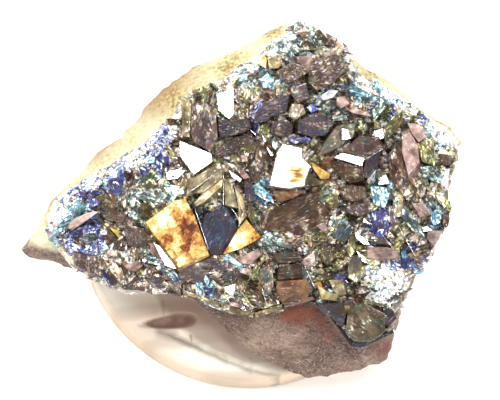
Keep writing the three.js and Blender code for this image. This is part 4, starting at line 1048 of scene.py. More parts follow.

# %% [markdown]
# ## Leading crystals
#
# The large crystals that catch the eye are placed one by one. A whole crystal could be modelled and
# then turned until it fits, but what is seen of it is one facet and how it mirrors the light. So
# each is given by the outline of its leading facet on the face, its height and its lean. The body
# opens downwards from the facet: each lower ring is the facet enlarged from a point above it, so
# every side face is flat. A narrow bevel round the facet catches the light as a bright line.

# %% Leading crystals
# Each row is finish, height over the underside, lean to the right and up the face or a softbox,
# and the corners u,v of the facet
LEADING = """
rose 2.1 -0.2,0.25 -11.4,-1.75 -11.1,-1.25 -10.2,-0.8 -9.4,-0.7 -10,-1.15 -11.1,-1.9
blue 1.6 -0.1,-0.35 -11.1,-1.95 -10.2,-1.5 -9.4,-1.75 -9.6,-2.3 -10.5,-2.5
cyan 1.6 0.1,-0.4 -10.3,-2.8 -9.7,-2.55 -9,-2.75 -8.8,-3.05 -9.5,-3.45 -10.2,-3.3
blue 1.7 -0.25,0.3 -9.1,1.3 -8.7,1.6 -8,1.2 -7.9,0.5 -8.4,0.2 -8.8,0.7
blue 1.5 -0.2,0.3 -11.2,0.7 -10.7,0.9 -9.9,0.6 -9.8,0.1 -10.5,0.2
cyan 1.5 -0.1,0.2 -8.45,-0.1 -8.1,0.1 -7.85,-0.2 -8,-0.7 -8.4,-0.4
smoky 2 -0.3,-0.1 -9.3,-0.8 -8.9,-0.4 -7.7,-0.9 -7.9,-1.4 -9,-1.3
smoky 1.4 -0.1,-0.5 -11,-3.2 -10,-3.4 -9,-3.7 -9.3,-4.8 -10.2,-4.5 -11,-4.1
smoky 1.6 0.1,-0.4 -7.8,-5.5 -7.2,-4.8 -5.4,-4.9 -5.3,-5.5 -6.6,-5.7
smoky 2 0.2,-0.2 -7.9,-1.9 -6.9,-1.7 -6.2,-2.2 -6.5,-3 -7.5,-2.9
rose 1.9 0.1,-0.2 -7.9,-4.1 -7,-3.8 -6.7,-4.1 -7.1,-4.5 -7.6,-4.4
clear 2.9 lens -4.4,3.7 -2.4,2.9 -2.3,2.4 -3.5,1.55 -4.4,2.75
clear 2.2 lens -5.25,1.75 -4.4,1.95 -4,1.85 -4.5,1.3 -5.2,1.25
smoky 3.2 0.3,-0.15 -3.6,6 -2.7,6 -2.1,5.3 -2,3.9 -2.5,3 -3.5,3.6 -3.7,4.2
honey 3.1 -0.35,0.1 -4.3,6.3 -3.9,6.2 -3.65,5.9 -3.75,3.9 -4.2,4
clear 2.6 lens -2.1,6.6 -1,7 -1,5.3 -1.3,5 -2,5.6
smoky 2.5 0.2,-0.35 -2,5.2 -1.3,4.95 -0.1,5.1 0.1,4.5 -0.6,4.1 -1.9,3.9
smoky 2.5 0.25,-0.4 -2.1,3.3 -0.9,3.9 0.1,4.1 0.3,3.5 -0.8,2.9 -2.2,2.6
smoky 2.5 -0.3,-0.2 0.45,3.5 0.85,3.4 1.2,2.6 1.1,1.9 0.6,1.7 0.3,2.6
smoky 2.6 0.2,-0.3 -0.35,1.1 0.1,1.1 0.3,0.5 0.2,-0.05 -0.1,-0.1 -0.35,0.3
rose 2.5 -0.1,0.25 -0.9,1.9 -0.3,1.8 0,1.4 -0.4,1.3
smoky 2.5 0.3,-0.25 1.4,4.9 2.3,5 2.7,4.7 2.6,4.1 2,3.9 1.4,4.2
smoky 2.75 0.2,-0.3 3,4.9 4.1,5.4 5.3,4.85 4.7,4 3.9,3.95 3,4.2
drab 2.75 0.2,-0.25 5.4,4.6 6.6,4.75 6.4,3.9 5.2,3.1 4.2,2.7 4.6,3.5
smoky 2.5 -0.2,-0.25 2.5,7.1 3.5,7.3 3.7,6.4 3,6 2.6,6.5
smoky 2.6 -0.2,-0.3 5.6,0.9 6.3,0.95 7.1,0.8 7.2,0.2 6.6,-0.1 5.8,0
smoky 2.5 0.25,-0.25 6,-0.3 6.7,-0.3 7.5,0 7.5,-0.8 6.9,-1.05 6,-0.8
smoky 2.2 0.1,-0.4 7.5,-2.1 8.4,-2.4 9,-2.9 7.9,-2.75 7.4,-2.6
olive 2.8 0.3,-0.1 8.4,3.5 9.5,4.8 9.5,5.5 9.1,5.4 8.4,4.6
teal 2.5 -0.3,0.2 7.7,4.9 8.6,5.9 8.3,6.3 7.6,5.6
straw 2.3 0,0.2 1.1,8.8 1.5,9 2,8.6 1.8,8.2 1.2,8.2
honey 3 -0.3,0.3 -3.75,1.3 -2.3,2.1 -1.75,1.8 -1.7,1.34 -3.06,0.44 -3.8,0.34
straw 2.9 -0.1,-0.3 -1.7,1.3 -1.73,0.87 -2.84,-0.09 -3.37,-0.4 -3.5,-0.2 -2.95,0.43
honey 2.9 0.3,-0.1 -1.62,1.34 -1.08,0.97 -0.75,-0.5 -1.56,-0.3
straw 2.8 0.4,0.1 -1.02,0.97 -0.46,0.13 -0.19,-0.94 -0.7,-1.56 -0.7,-0.5
olive 2.5 0.3,0.3 -0.15,-0.19 0.38,-0.72 0.44,-1.38 0.13,-1.5 -0.15,-1
window 3.1 -0.06,-0.06 -6.5,-1.4 -4.75,-0.08 -4,0.05 -3.45,-1 -2.55,-3.38 -4.43,-4.2
clear 2.2 lens -6.05,-2.6 -5.6,-2.9 -4.65,-3.9 -4.6,-4.35 -5.3,-4.1
ink 2.5 0.15,-0.2 -2.84,-0.94 -1.56,-0.35 -0.76,-1.7 -1.56,-3.38 -2.44,-3.48 -3.06,-1.78
window 2.7 -0.1,0.1 -0.24,-1.22 0.71,-2.33 -0.5,-3 -1.67,-3.4 -0.74,-1.8
smoky 1.9 0,-0.45 -4.4,-4.3 -2.5,-3.6 -1.6,-3.7 -1.5,-4.6 -3,-5.4 -4.6,-5.2
rose 2.2 0.1,-0.3 -0.9,-3.7 0.5,-3 0.7,-3.4 0.1,-4 -0.6,-4
clear 2 lens -1.6,-5.4 -0.9,-5.2 -0.9,-5.6 -1.1,-6 -1.6,-5.7
smoky 2.7 -0.1,0.3 1.6,8 2.6,8.6 3.9,8.1 3,7.6 2.4,7.3
smoky 2.9 0.25,-0.2 3.8,8.6 5.3,9.1 5.9,8.9 5.9,8 5,7.2 4.2,6.8 3.6,7.4
smoky 2.4 0.2,-0.3 0.3,5.4 0.9,6.1 2.5,6.6 2.3,5.6 1,4.9 0.3,4.8
rose 2.6 -0.1,0.1 5.4,6.4 5.9,6.5 6.2,6 5.7,5.7 5.4,5.9
stained 3.3 lens 2.06,3.5 3.19,3.25 3.25,2.65 3.8,2.06 3.44,1.38 3.38,0.88 2.38,0.72 1.2,0.88 1.69,3
amber 2.5 0.3,0.15 3.8,2.4 5,1.6 4.9,1.3 4.4,1.3 3.9,2
smoky 2.3 0,-0.2 0.75,-0.95 2.6,0 4.1,0.5 4.9,-0.2 4.8,-1.5 4,-2.2 2.4,-2.2 0.8,-1.8
olive 2.4 0.25,-0.2 4.2,0.3 5.4,0.4 5.6,-0.3 5.2,-0.7 4.6,-0.3
clear 3.1 lens 5.2,2.65 5.7,2.95 7.15,2.6 7,2.1
smoky 2.9 0.05,0.3 5.7,3 6.8,4 8,3.9 8.3,3.2 7.2,2.65
smoky 2.7 -0.25,-0.3 5.1,2.5 7,2.05 7.1,1.2 6.2,1 5.2,1.8
smoky 2.7 0.5,-0.1 7.2,2.6 8.2,3.1 8,2.2 7.4,1.3 7,1.5
cyan 2.1 -0.1,-0.2 7.5,0.9 8.5,0.8 8.7,0.2 8.4,-0.5 7.7,-0.3
blue 1.9 -0.2,-0.3 7.6,-0.8 8.3,-0.6 8.7,-1.6 8.6,-2.3 7.5,-2
olive 2.7 -0.3,0 6.4,-3.5 6.9,-3.6 7.1,-4.6 6.6,-5.2 6.1,-4.8 6.1,-4
olive 2.3 -0.2,0.2 4.4,-3 5,-2.9 5.3,-3.6 4.8,-4.1 4.4,-3.6
teal 2.1 -0.15,0.2 5.1,-1.2 6,-1.1 6.5,-1.8 5.9,-2.7 5.2,-2.2
smoky 2.4 -0.1,-0.35 1.8,-4.2 3.1,-4 3.5,-4.9 1.7,-5
tan 2.2 -0.1,-0.4 1.7,-5.05 3.5,-4.95 3.9,-5.5 3.4,-6.4 2,-6.5 1.6,-5.6
drab 2.2 0.3,-0.15 0.6,-4.3 1.4,-4 1.5,-5.4 1.2,-5.9 0.7,-5.4
drab 2.6 -0.15,-0.15 6.1,-6.8 7.1,-6.4 8.4,-7.1 8.4,-8.2 7.6,-8.8 6.5,-8.8 6,-8.2
rose 2.3 0,-0.2 7.3,-2.95 8.4,-2.95 9.2,-3.1 9.4,-3.6 8.2,-3.8 7.3,-3.6
rose 3 0.3,0.1 9.5,4 9.95,4.25 10.45,3.4 10.55,2.3 9.85,1.5 9.45,3
rose 2.6 0.35,0.25 9.8,4.8 10.6,4.7 10.95,3.9 10.5,3.6 10.1,4.1
olive 2.4 0.4,0 10.4,3.5 11.4,3.9 11.6,2.6 11.5,2.1 10.7,2.4
smoky 2.5 -0.36,-0.22 8.6,2.8 9.5,3.8 9.5,2.5 9.9,1.4 9.2,0.6 8.7,1.4
smoky 1.7 0.3,0.2 11.8,2.9 12.8,2.8 12.9,2.5 12.5,2.1 12,2.3
teal 2.1 0.3,-0.25 10.6,2.1 11.6,2.1 12,1.6 11.9,1 10.8,1.4
olive 2 0.35,0.2 10.8,0.95 11.1,0.9 12.5,-0.1 12.6,-0.75 12.2,-0.6
teal 2.3 0.2,0.2 8.8,0.4 9.4,0 10.7,-1.7 10.9,-2.4 10.1,-1.9 9.2,-0.8
olive 1.9 0.1,-0.3 -9.6,0.2 -9.05,0.45 -9.1,-0.2 -9.5,-0.75
amber 1.7 0,-0.2 -8.8,-1.7 -8.1,-1.95 -7.85,-2.5 -8.2,-2.4
smoky 1.6 -0.1,-0.2 -9.2,-2.1 -8.8,-1.9 -8.2,-2.4 -8.6,-2.7 -9.3,-2.5
teal 2 -0.3,0.2 -7.5,-0.9 -7.2,-0.7 -6.4,-0.7 -6.6,-1.7 -6.9,-1.4
cyan 2.1 -0.1,0 -6.7,2.6 -6.3,2.75 -5.9,2.6 -6,2.3 -6.5,2.3
cyan 2.1 -0.2,0.1 -5.6,1 -4.9,0.95 -4.2,0.8 -4.1,0.4 -5,0.2
clear 2.3 high_left -5.4,0.75 -4.5,0.8 -4.3,0.65 -5.2,0.5
clear 2.7 lens -1.35,1.9 -0.5,1.3 -0.6,1.1 -1.2,1.5
rose 2.1 -0.4,-0.4 -6.2,-2.7 -6.05,-2.7 -5.4,-4 -4.9,-4.4 -6.2,-3.3
teal 1.9 0.1,-0.2 -1.6,-4.5 -1.1,-4.4 -1,-5 -1.6,-5.1
amber 2 0.3,-0.2 0.4,-5.6 0.6,-5 0.9,-5.1 0.8,-5.9 0.6,-5.9
blue 1.8 -0.1,-0.4 -2.9,-5.5 -2.3,-5.5 -2.3,-5.85 -2.8,-5.9
rose 2.4 -0.1,0.3 2.9,8.9 3.8,9 4.1,8.4 4,8.1 3.2,8.3
cyan 2.1 -0.1,0.2 0.6,7.5 1.1,7.9 1.5,7.5 1.4,7 0.8,7
cyan 2 -0.2,0.3 -0.8,7.8 -0.2,7.9 -0.1,7.5 -0.7,7.4
amber 2 0.2,0.3 0.5,8.5 0.9,9.1 1.05,8.7 1,8.2
smoky 2.1 0.2,0.3 4.7,9.7 5,10.1 5.3,9.95 5.1,9.6
rose 2.5 0.1,0.3 6.1,5.6 6.6,5.7 7.3,5.5 7.6,5.2 6.4,5.4
sugar 2.6 0.1,0.2 4.3,6.4 5,6.9 5.5,6.8 5.2,6.4 4.6,6.2
blue 2.4 -0.1,0.25 2.4,3.8 2.8,4 3.7,3.9 3.8,3.7 2.8,3.5
teal 2.4 0.1,0.2 5.1,5.2 6,5.3 6.1,5 5.2,4.9
blue 2.4 -0.1,0.3 3.5,5.8 3.9,6 4.3,5.6 3.8,5.4
drab 2.6 0.15,0.2 2.6,6 3.3,5.95 3.5,5.4 2.9,5 2.4,5.2
clear 3.05 lens 5.7,4.5 6.1,4.4 6.3,3.8 5.7,3.7
olive 2.5 0.3,0.1 3.5,1.7 4.4,1.2 4.3,0.9 3.4,0.8
cyan 2.2 -0.1,0.1 0.2,0.9 0.5,1.05 1.3,0.3 1.5,-0.2 0.9,0 0.3,0.4
tan 2.3 -0.1,-0.3 1.4,0.6 3.5,0.6 2.7,0.1 1.7,-0.2
clear 2.4 lens 7.7,4.3 8.4,4.5 8.4,3.9 7.9,3.6
clear 2.2 back 7.9,1.8 8.4,1.9 8.7,1 8,0.9
clear 2.4 lens 7.1,-1.1 7.2,-1.2 7.6,-1.55 7,-1.4
clear 2.4 lens 6.5,-2 7.1,-2.3 7.5,-2.8 7.1,-2.8 6.6,-2.4
clear 2.4 right 6.6,-3.1 7.2,-3.6 7.3,-4 6.9,-3.8
olive 2.3 -0.3,0.1 6.1,-2.5 6.5,-2.1 6.6,-3 6.3,-3.6 6,-3.2
teal 2.1 0.1,-0.1 1.3,-2.3 2,-2 2.7,-2.4 2.6,-3.1 1.5,-2.8
rose 2.5 0.2,0.2 4.1,-1.6 4.6,-1.4 5,-1.9 4.6,-2
clear 2.4 left 0,4.4 0.4,4.1 0.35,4
clear 2.5 lens 0.7,4.2 1.05,3.6 0.9,3.6
clear 2.6 lens 1,3.4 1.5,2.75 1.3,2.7
rose 2.4 0,0.2 -0.6,2.8 -0.2,2.8 -0.1,2.4 -0.5,2.35
smoky 2.2 0,-0.3 1.5,-3.3 3,-3.2 3.3,-3.8 1.9,-4 1.4,-3.7
teal 2.4 0.3,-0.2 3.2,-4.1 3.5,-4.3 4,-5.6 3.6,-5.9 3.3,-5
amber 2.2 0.2,-0.3 4.1,-5.2 4.4,-5.1 4.7,-5.8 4.6,-6.2
honey 2.3 0.1,-0.3 4.9,-5 5.8,-5 6,-5.9 5.4,-6
ink 1.8 0,-0.5 6.3,-9.2 7,-9.25 9,-8.3 8.9,-8.1 7.5,-8.7 6.4,-8.95
rose 2 -0.3,-0.3 6.05,-7.8 6.4,-8.1 6.5,-8.7 6.2,-8.6 6,-8.3
amber 2 -0.2,-0.2 5.9,-6.6 6.2,-6.6 6.3,-6.9 6,-7.1 5.8,-7
ink 2.4 -0.2,-0.3 4.4,-6.55 5.8,-6.4 6,-7.1 5.8,-7.95 4.9,-7.5
smoky 1.8 0.3,-0.2 8.3,-6.9 8.9,-6.8 9.2,-7.4 8.6,-8 8.35,-7.6
olive 2.2 0.1,0.2 7,-6.2 8.4,-6.5 8.3,-6.7 7.2,-6.45
rose 2.2 0.2,-0.1 10.1,-0.2 10.9,-0.2 11.3,-0.9 10.6,-1.1
cyan 1.9 0.2,-0.1 11.3,-0.9 11.6,-0.6 11.95,-0.9 11.9,-1.4 11.5,-1.6 11.3,-1.3
smoky 1.7 0.4,-0.1 12,-1 12.5,-1.1 12.4,-1.6 12.1,-1.9
rose 1.7 0.3,-0.2 11.1,-1.9 12,-1.9 11.8,-2.5 11.5,-2.9 11,-2.4
smoky 1.6 0.2,-0.3 10.4,-3.6 11.4,-3 11.2,-3.5 10.8,-3.8
honey 1.75 -0.1,-0.22 -4.2,-5.6 -1.9,-6.4 -1.9,-6.7 -4.2,-5.85
honey 1.75 -0.1,-0.22 -1.8,-6.5 0.2,-7.05 0.2,-7.35 -1.8,-6.8
honey 1.75 -0.1,-0.22 0.3,-7.35 0.3,-7.05 2,-6.5 2,-6.85
rose 1.7 -0.1,-0.22 2.1,-6.8 2.1,-6.5 3.9,-6 4.1,-6.2 3.3,-6.45
straw 2.3 0.1,-0.2 4.2,-5.3 5,-5.8 5.5,-5.9 5.4,-6.3 4.5,-6.2
cyan 1.9 0.1,-0.1 9.4,-3.2 9.7,-3.2 9.9,-3.6 9.5,-3.7
blue 1.8 0.1,-0.2 9.4,-3.7 10,-3.5 9.9,-4.3 9.5,-4.4
clear 2.1 lens 10.7,-1.7 11.1,-1.6 11.4,-1.9 10.8,-2
"""
# Painted highlights at the bright edges where two large faces meet: thin whitish strips, each row start
# u, v, end u, v, height
EDGE_GLINTS = table("""
    9.3,-1.7,10.3,-3.5,2.2 8.2,-2.1,9.2,-3.4,2.3 3.4,-4.1,4,-5.4,2.5 5.75,-0.2,6.8,-0.9,2.5
    7.1,2.5,8.3,3.2,3.1 -1.05,1.08,-0.4,-0.77,3 -0.4,-0.77,-0.72,-1.67,3 -3.4,-0.6,-2.6,-3,3.1
    -1.65,1.6,-1.65,-0.3,3.1 0.7,-5.3,1,-6.4,2.1 -3,0.45,-1.7,1.36,3.1 7.3,1.2,7.9,1.9,2.8
    -1.14,-0.53,-0.51,-1.38,2.9 -3.69,0.54,-1.78,1.92,3.1 -3.48,-0.21,-1.85,1.05,3
""")
leading_rows = LEADING.strip().split("\n")
print(len(leading_rows), "leading crystals and", len(EDGE_GLINTS), "bright edges")

# %% [markdown]
# A facet is turned white by leaning it so that it bisects the ways to the camera and to a
# softbox. All facets with equally many corners are made at once.

# %% Crystals under facets
BEVEL = 0.04
ASIDE = 0.35
LOWEST = 0.05
GROWTH_SPREAD = 60
rng = np.random.default_rng(7)


def lean_to(softbox):
    """The lean that bisects the ways to the camera and to a softbox, as slopes on the face."""
    half = FACE_AXES @ (TO_CAMERA + softbox_direction(softbox))
    return half[:2] / half[2]


def facet_crystals(height, lean, facets, flare):
    """Rings (foot, girdle, facet) of crystals under leading facets with equally many corners.
    A facet's plane is w = height - lean . (p - middle). The girdle is the facet's outline a
    bevel below it. The foot is the girdle enlarged from an apex: foot = apex + g (girdle - apex)."""
    middle = facets.mean(axis=1, keepdims=True)
    offset = facets - middle
    inset = 1 - BEVEL / np.linalg.norm(offset, axis=2, keepdims=True)
    rise = -(offset * lean[:, None, :]).sum(axis=2, keepdims=True)
    level = height[:, None, None]
    top = np.concatenate([middle + offset * inset, level + rise * inset], axis=2)
    girdle = np.concatenate([middle + offset, level + rise - BEVEL], axis=2)
    aside = rng.uniform(-ASIDE, ASIDE, middle.shape) * np.abs(offset).max(axis=1, keepdims=True)
    flare = flare[:, None, None]
    apex = np.concatenate([middle + aside, level + flare], axis=2)
    grow = (level + flare - CRUST_GAP) / flare
    foot = apex + (girdle - apex) * grow
    rings = np.stack([foot, girdle, top], axis=1)
    rings[..., 2] = np.maximum(rings[..., 2], CRUST_GAP + LOWEST)
    shift = rng.uniform(0, GROWTH_SPREAD, (len(facets), 1, 1, 3))
    return rings, facet_growth(rings, middle, facets) + shift


def facet_growth(rings, middle, facets):
    """Each point's place in its crystal's own axes: out of the face, across and along the
    facet's longest side."""
    sides = np.roll(facets, -1, axis=1) - facets
    longest = sides[np.arange(len(facets)), np.linalg.norm(sides, axis=2).argmax(axis=1)]
    turn = np.arctan2(longest[:, 1], longest[:, 0])[:, None, None]
    u, v = rings[..., 0] - middle[:, None, :, 0], rings[..., 1] - middle[:, None, :, 1]
    return np.stack([rings[..., 2], v * np.cos(turn) - u * np.sin(turn),
                     u * np.cos(turn) + v * np.sin(turn)], -1)


for softbox in SOFTBOXES:
    print("lean to", softbox, np.round(lean_to(softbox), 2))

# %% [markdown]
# Crystals near the rim stand steeper, so that they don't spread past it, and what would still
# pass the edge of the crust is drawn in to it.

# %% Edge of the crust
EDGE_LIMIT = 1.015


def edge_share(spots):
    """How far out a spot is, from 0 in the middle to 1 at the crust's edge."""
    return np.hypot(*spots.T) / reach_of(CRUST_EDGE, np.arctan2(spots[:, 1], spots[:, 0]))


def draw_in(rings):
    """The rings with what would pass the crust's edge drawn in to it."""
    share = edge_share(rings.reshape(-1, 3)[:, :2]).reshape(rings.shape[:-1] + (1,))
    drawn = rings.copy()
    drawn[..., :2] /= np.maximum(share / EDGE_LIMIT, 1)
    return drawn


def anticlockwise(outline):
    """The outline with its corners in anticlockwise order, by the sign of its area."""
    u, v = outline.T
    area = (u * np.roll(v, -1) - v * np.roll(u, -1)).sum()
    return outline if area > 0 else outline[::-1]


print("a spot at u 12 lies at", np.round(edge_share(np.array([[12.0, 0.0]])), 2), "of the reach")

# %% [markdown]
# Each finish keeps a list of its crystals, and every crystal a tone of its own: lower tones are
# darker, and the crust grows a little lighter up the face.

# %% Place the leading crystals
FLARE_HEIGHT = 5.0
EDGE_FLARE = 14.0
NEAR_EDGE = 0.85
STEEP_FINISHES = ("stained", "clear", "window")
LEADING_TONE = -0.09
TONE_PER_MM = 0.005
COLOURED_TONES = {"blue": 0.0, "cyan": 0.08, "teal": 0.0, "olive": -0.02, "honey": -0.04, "straw": -0.04,
                  "ink": -0.2, "tan": -0.24}
GLINT_WIDTH = 0.007

crystals = {finish: [] for finish in FINISHES}
outlines = []
for row in leading_rows:
    finish, height, lean, facet = row.split(maxsplit=3)
    outline = anticlockwise(table(facet))
    outlines.append(outline)
    lean = lean_to(lean) if lean in SOFTBOXES else table(lean)[0]
    near_edge = edge_share(outline).max() > NEAR_EDGE
    flare = EDGE_FLARE if near_edge or finish in STEEP_FINISHES else FLARE_HEIGHT
    rings, growth = facet_crystals(np.array([float(height)]), lean[None], outline[None],
                                   np.array([flare]))
    tone = COLOURED_TONES.get(finish, LEADING_TONE) + TONE_PER_MM * outline[:, 1].mean()
    crystals[finish].append((draw_in(rings[0]), growth[0], tone))

# Each bright edge is a thin strip of the whitish sugary finish, leant at the lens softbox: partly a real
# mirror of it and partly a painted highlight in its colour. The strips go into the sugar crystals'
# piece.
for *ends, height in EDGE_GLINTS:
    start, end = np.reshape(ends, (2, 2))
    along = end - start
    across = np.array([-along[1], along[0]]) / np.linalg.norm(along) * GLINT_WIDTH
    outline = anticlockwise(np.array([start + across, end + across, end - across, start - across]))
    rings, growth = facet_crystals(np.array([height]), lean_to("lens")[None], outline[None],
                                   np.array([FLARE_HEIGHT]))
    crystals["sugar"].append((rings[0], growth[0], 0.0))
print(sum(map(len, crystals.values())), "crystals placed by hand")

# %% [markdown]
# ## The crowd of lesser crystals
#
# Thousands of smaller crystals fill the crust between the leading ones: prisms, splinters and
# sugar. Geometry nodes could scatter copies of a few, but copies show. Here every one has its
# own shape, from one seeded source. Each prism and splinter stands at the one of several tries
# that is furthest from those before it, so that they spread evenly and yet look grown.

# %% Where lesser crystals stand
FIELD_LOW, FIELD_HIGH = [-13.3, -9.4], [13.3, 10.9]
POOL_FACTOR = 8


def inside_any(spots, outlines):
    """Whether each spot lies inside one of the convex outlines: left of every side."""
    found = np.zeros(len(spots), bool)
    for outline in outlines:
        side = np.roll(outline, -1, axis=0) - outline
        to_spot = spots[:, None] - outline[None]
        found |= (side[:, 0] * to_spot[..., 1] > side[:, 1] * to_spot[..., 0]).all(axis=1)
    return found


def spread_spots(count, tries, limit):
    """Spots inside the crust's edge, each the furthest of several tries from those before it."""
    spots = np.array([outline.mean(axis=0) for outline in outlines])
    start = len(spots)
    pool = rng.uniform(FIELD_LOW, FIELD_HIGH, (POOL_FACTOR * count * tries, 2))
    pool = pool[(edge_share(pool) < limit) & ~inside_any(pool, outlines)]
    for tried in pool[:count * tries].reshape(count, tries, 2):
        gap = np.linalg.norm(tried[:, None] - spots[None], axis=2).min(axis=1)
        spots = np.vstack([spots, tried[gap.argmax()]])
    return spots[start:]


print(len(outlines), "facets are kept free")

# %% [markdown]
# Crystals of one colour grow in company. Within a zone most take the zone's finish and the rest
# one by the odds. In the sugary patches blue grains gather in clusters.

# %% Finishes of lesser crystals
COLOUR_ZONES = [
    # (u, v, radius, finish)
    (-10.5, 0.3, 1.9, "blue"), (-11.5, -0.6, 1.3, "cyan"), (-10.2, -2.2, 1.3, "blue"),
    (-6.3, 0.6, 1.2, "teal"), (-6.5, 2.6, 1.0, "blue"), (1.0, 7.3, 1.1, "cyan"),
    (-0.3, 7.6, 0.9, "teal"), (7.0, 7.2, 1.2, "cyan"), (9.3, 6.4, 1.2, "blue"),
    (11.5, 4.4, 1.4, "blue"), (8.1, 0.9, 1.2, "cyan"), (8.2, -1.5, 1.0, "blue"),
    (0.8, 0.6, 0.8, "cyan"), (2.0, -2.4, 1.0, "teal"), (6.2, -4.3, 1.6, "olive"),
    (11.6, -1.0, 0.8, "cyan"), (9.6, -4.1, 0.9, "blue"), (5.4, -2.9, 1.2, "olive"),
    (-2.5, -5.7, 0.8, "cyan"), (4.6, 6.5, 0.7, "teal"), (3.0, 10.1, 1.5, "teal"),
    (4.6, 9.9, 0.9, "drab"), (0.0, 8.6, 0.9, "teal"),
]
FINISH_ODDS = {"smoky": 0.52, "rose": 0.03, "blue": 0.02, "cyan": 0.03, "teal": 0.12,
               "olive": 0.15, "honey": 0.05, "tan": 0.04, "clear": 0.04}
SUGAR_ODDS = {"smoky": 0.22, "cyan": 0.08, "teal": 0.14, "olive": 0.03, "clear": 0.05, "sugar": 0.48}
ZONE_SHARE = 0.6
CLUSTER_SIZE = 0.8
CLUSTER_PULL = 0.8
INK_STEP = 0.4
HALF_SUGARED = 0.5


def noise_at(spots, size, seed):
    """Noise from -1 to 1 at spots of the face."""
    return value_noise(np.column_stack([spots, 0 * spots[:, 0]]), size, seed)


def finishes_at(spots):
    """The finish of each spot: its colour zone's, for six in ten, or one by the odds."""
    count = len(spots)
    picked = rng.choice(list(FINISH_ODDS), count, p=list(FINISH_ODDS.values()))
    zoned = rng.uniform(size=count) < ZONE_SHARE
    for u, v, radius, finish in COLOUR_ZONES:
        near = np.hypot(spots[:, 0] - u, spots[:, 1] - v) < radius
        picked = np.where(near & zoned, finish, picked)
    sugary = rng.choice(list(SUGAR_ODDS), count, p=list(SUGAR_ODDS.values()))
    blued = rng.uniform(size=count) + CLUSTER_PULL * noise_at(spots, CLUSTER_SIZE, 31)
    blue_share = blue_share_at(spots)
    sugary = np.where(blued < blue_share, np.where(spots[:, 0] > 0, "cyan", "blue"), sugary)
    sugary = np.where(blued < blue_share - INK_STEP, "ink", sugary)
    return np.where(in_sugar(*spots.T) > HALF_SUGARED, sugary, picked)


print("odds add up to", round(sum(FINISH_ODDS.values()), 2), "and", round(sum(SUGAR_ODDS.values()), 2))

# %% [markdown]
# Prisms have five sides, an oblique shoulder and a blunt point, and stand every way. All of them
# are worked out at once, with a row of the arrays for each.

# %% Shape of the prisms
PRISM_SIDES = 5
PRISM_FOOT = 0.6
PRISM_LOWEST = 0.03


def prisms(spots, length, half, tilt, sink):
    """Prisms with oblique shoulders. In a crystal's own axes the rings are: a small foot, the
    base, the shoulder with height rising along x, and a blunt point that is the shoulder shrunk
    towards the tip. The axes are turned by the tilt and the turn, and moved to the spot."""
    count = len(spots)
    corner = np.arange(PRISM_SIDES) + rng.uniform(-0.22, 0.22, (count, PRISM_SIDES))
    corner = 2 * math.pi * corner / PRISM_SIDES
    slim = rng.uniform(0.45, 1.0, (count, 1))
    x, y = np.cos(corner) * half[:, None], np.sin(corner) * half[:, None] * slim
    rise = rng.uniform(-0.8, 0.8, (count, 1))
    shoulder = length[:, None] * rng.uniform(0.45, 0.8, (count, 1)) + rise * x
    tip = rng.uniform(-0.3, 0.3, (count, 1)) * half[:, None]
    blunt = rng.uniform(0.1, 0.6, (count, 1))
    point = length[:, None] + (shoulder - length[:, None]) * blunt
    rings = np.stack([
        np.stack([x * PRISM_FOOT, y * PRISM_FOOT, 0 * x - sink], -1),
        np.stack([x, y, 0 * x], -1),
        np.stack([x, y, shoulder], -1),
        np.stack([tip + (x - tip) * blunt, y * blunt, point], -1),
    ], axis=1)
    growth = rings + rng.uniform(0, GROWTH_SPREAD, (count, 1, 1, 3))
    turn, twist = rng.uniform(0, 2 * math.pi, (2, count))
    axis = np.stack([np.sin(tilt) * np.cos(turn), np.sin(tilt) * np.sin(turn), np.cos(tilt)], -1)
    side = np.stack([-np.sin(turn), np.cos(turn), 0 * turn], -1)
    across = np.cross(axis, side)
    first = side * np.cos(twist)[:, None] + across * np.sin(twist)[:, None]
    second = np.cross(axis, first)
    turned = np.einsum("krni,kij->krnj", rings, np.stack([first, second, axis], axis=1))
    base = np.column_stack([spots, ground_surface(*spots.T) - sink])
    placed = turned + base[:, None, None, :]
    placed[..., 2] = np.maximum(placed[..., 2], CRUST_GAP + PRISM_LOWEST)
    return placed, growth


print("a prism has", 4 * PRISM_SIDES, "points")

# %% [markdown]
# Each new crystal is filed under its finish, with a tone of its own: large ones are darker, and
# those up the face lighter. The prisms stand in two sizes, and lean less near the edge.

# %% Prisms
PRISM_SINK = 0.35
CROWD_TONE = 0.28
LARGE_SHADE, LARGE_HALF = 0.24, 0.6
TONE_SPREAD = 0.14


def keep(spots, rings, growth, size):
    """Files each crystal under its finish, with a tone of its own."""
    tones = CROWD_TONE - LARGE_SHADE * np.clip(size / LARGE_HALF, 0, 1)
    tones = tones + rng.uniform(-TONE_SPREAD, TONE_SPREAD, len(spots)) + TONE_PER_MM * spots[:, 1]
    for finish, shape, places, tone in zip(finishes_at(spots), draw_in(rings), growth, tones):
        crystals[finish].append((shape, places, tone))


def grow_prisms(spots, lengths, tilts, stoutness, sink, calm=1.0):
    """Prisms on spots. Length in mm, tilt in degrees and half width over length are each drawn
    from a range, and a calm below 1 stands them up."""
    count = len(spots)
    length = rng.uniform(*lengths, count)
    tilt = np.radians(rng.uniform(*tilts, count)) * calm
    half = length * rng.uniform(*stoutness, count)
    keep(spots, *prisms(spots, length, half, tilt, sink), half)


# count, tries for each spot, lengths, how far out they stand
for count, tries, lengths, limit in ((60, 10, (0.8, 1.4), 0.88), (110, 5, (0.5, 0.9), 0.93)):
    spots = spread_spots(count, tries, limit)
    spots = spots[in_sugar(*spots.T) < HALF_SUGARED]
    grow_prisms(spots, lengths, (5, 55), (0.25, 0.45), PRISM_SINK, 1 - 0.75 * edge_share(spots) ** 6)
    print(len(spots), "prisms of", lengths, "mm")

# %% [markdown]
# Splinters show one flat facet each. They are long in the way that a slow noise gives, so that
# neighbours run together as on a broken mass. Most lean away from the softboxes, because a
# chance mirror in a dark place draws the eye, and some small ones lean right at one and glint.

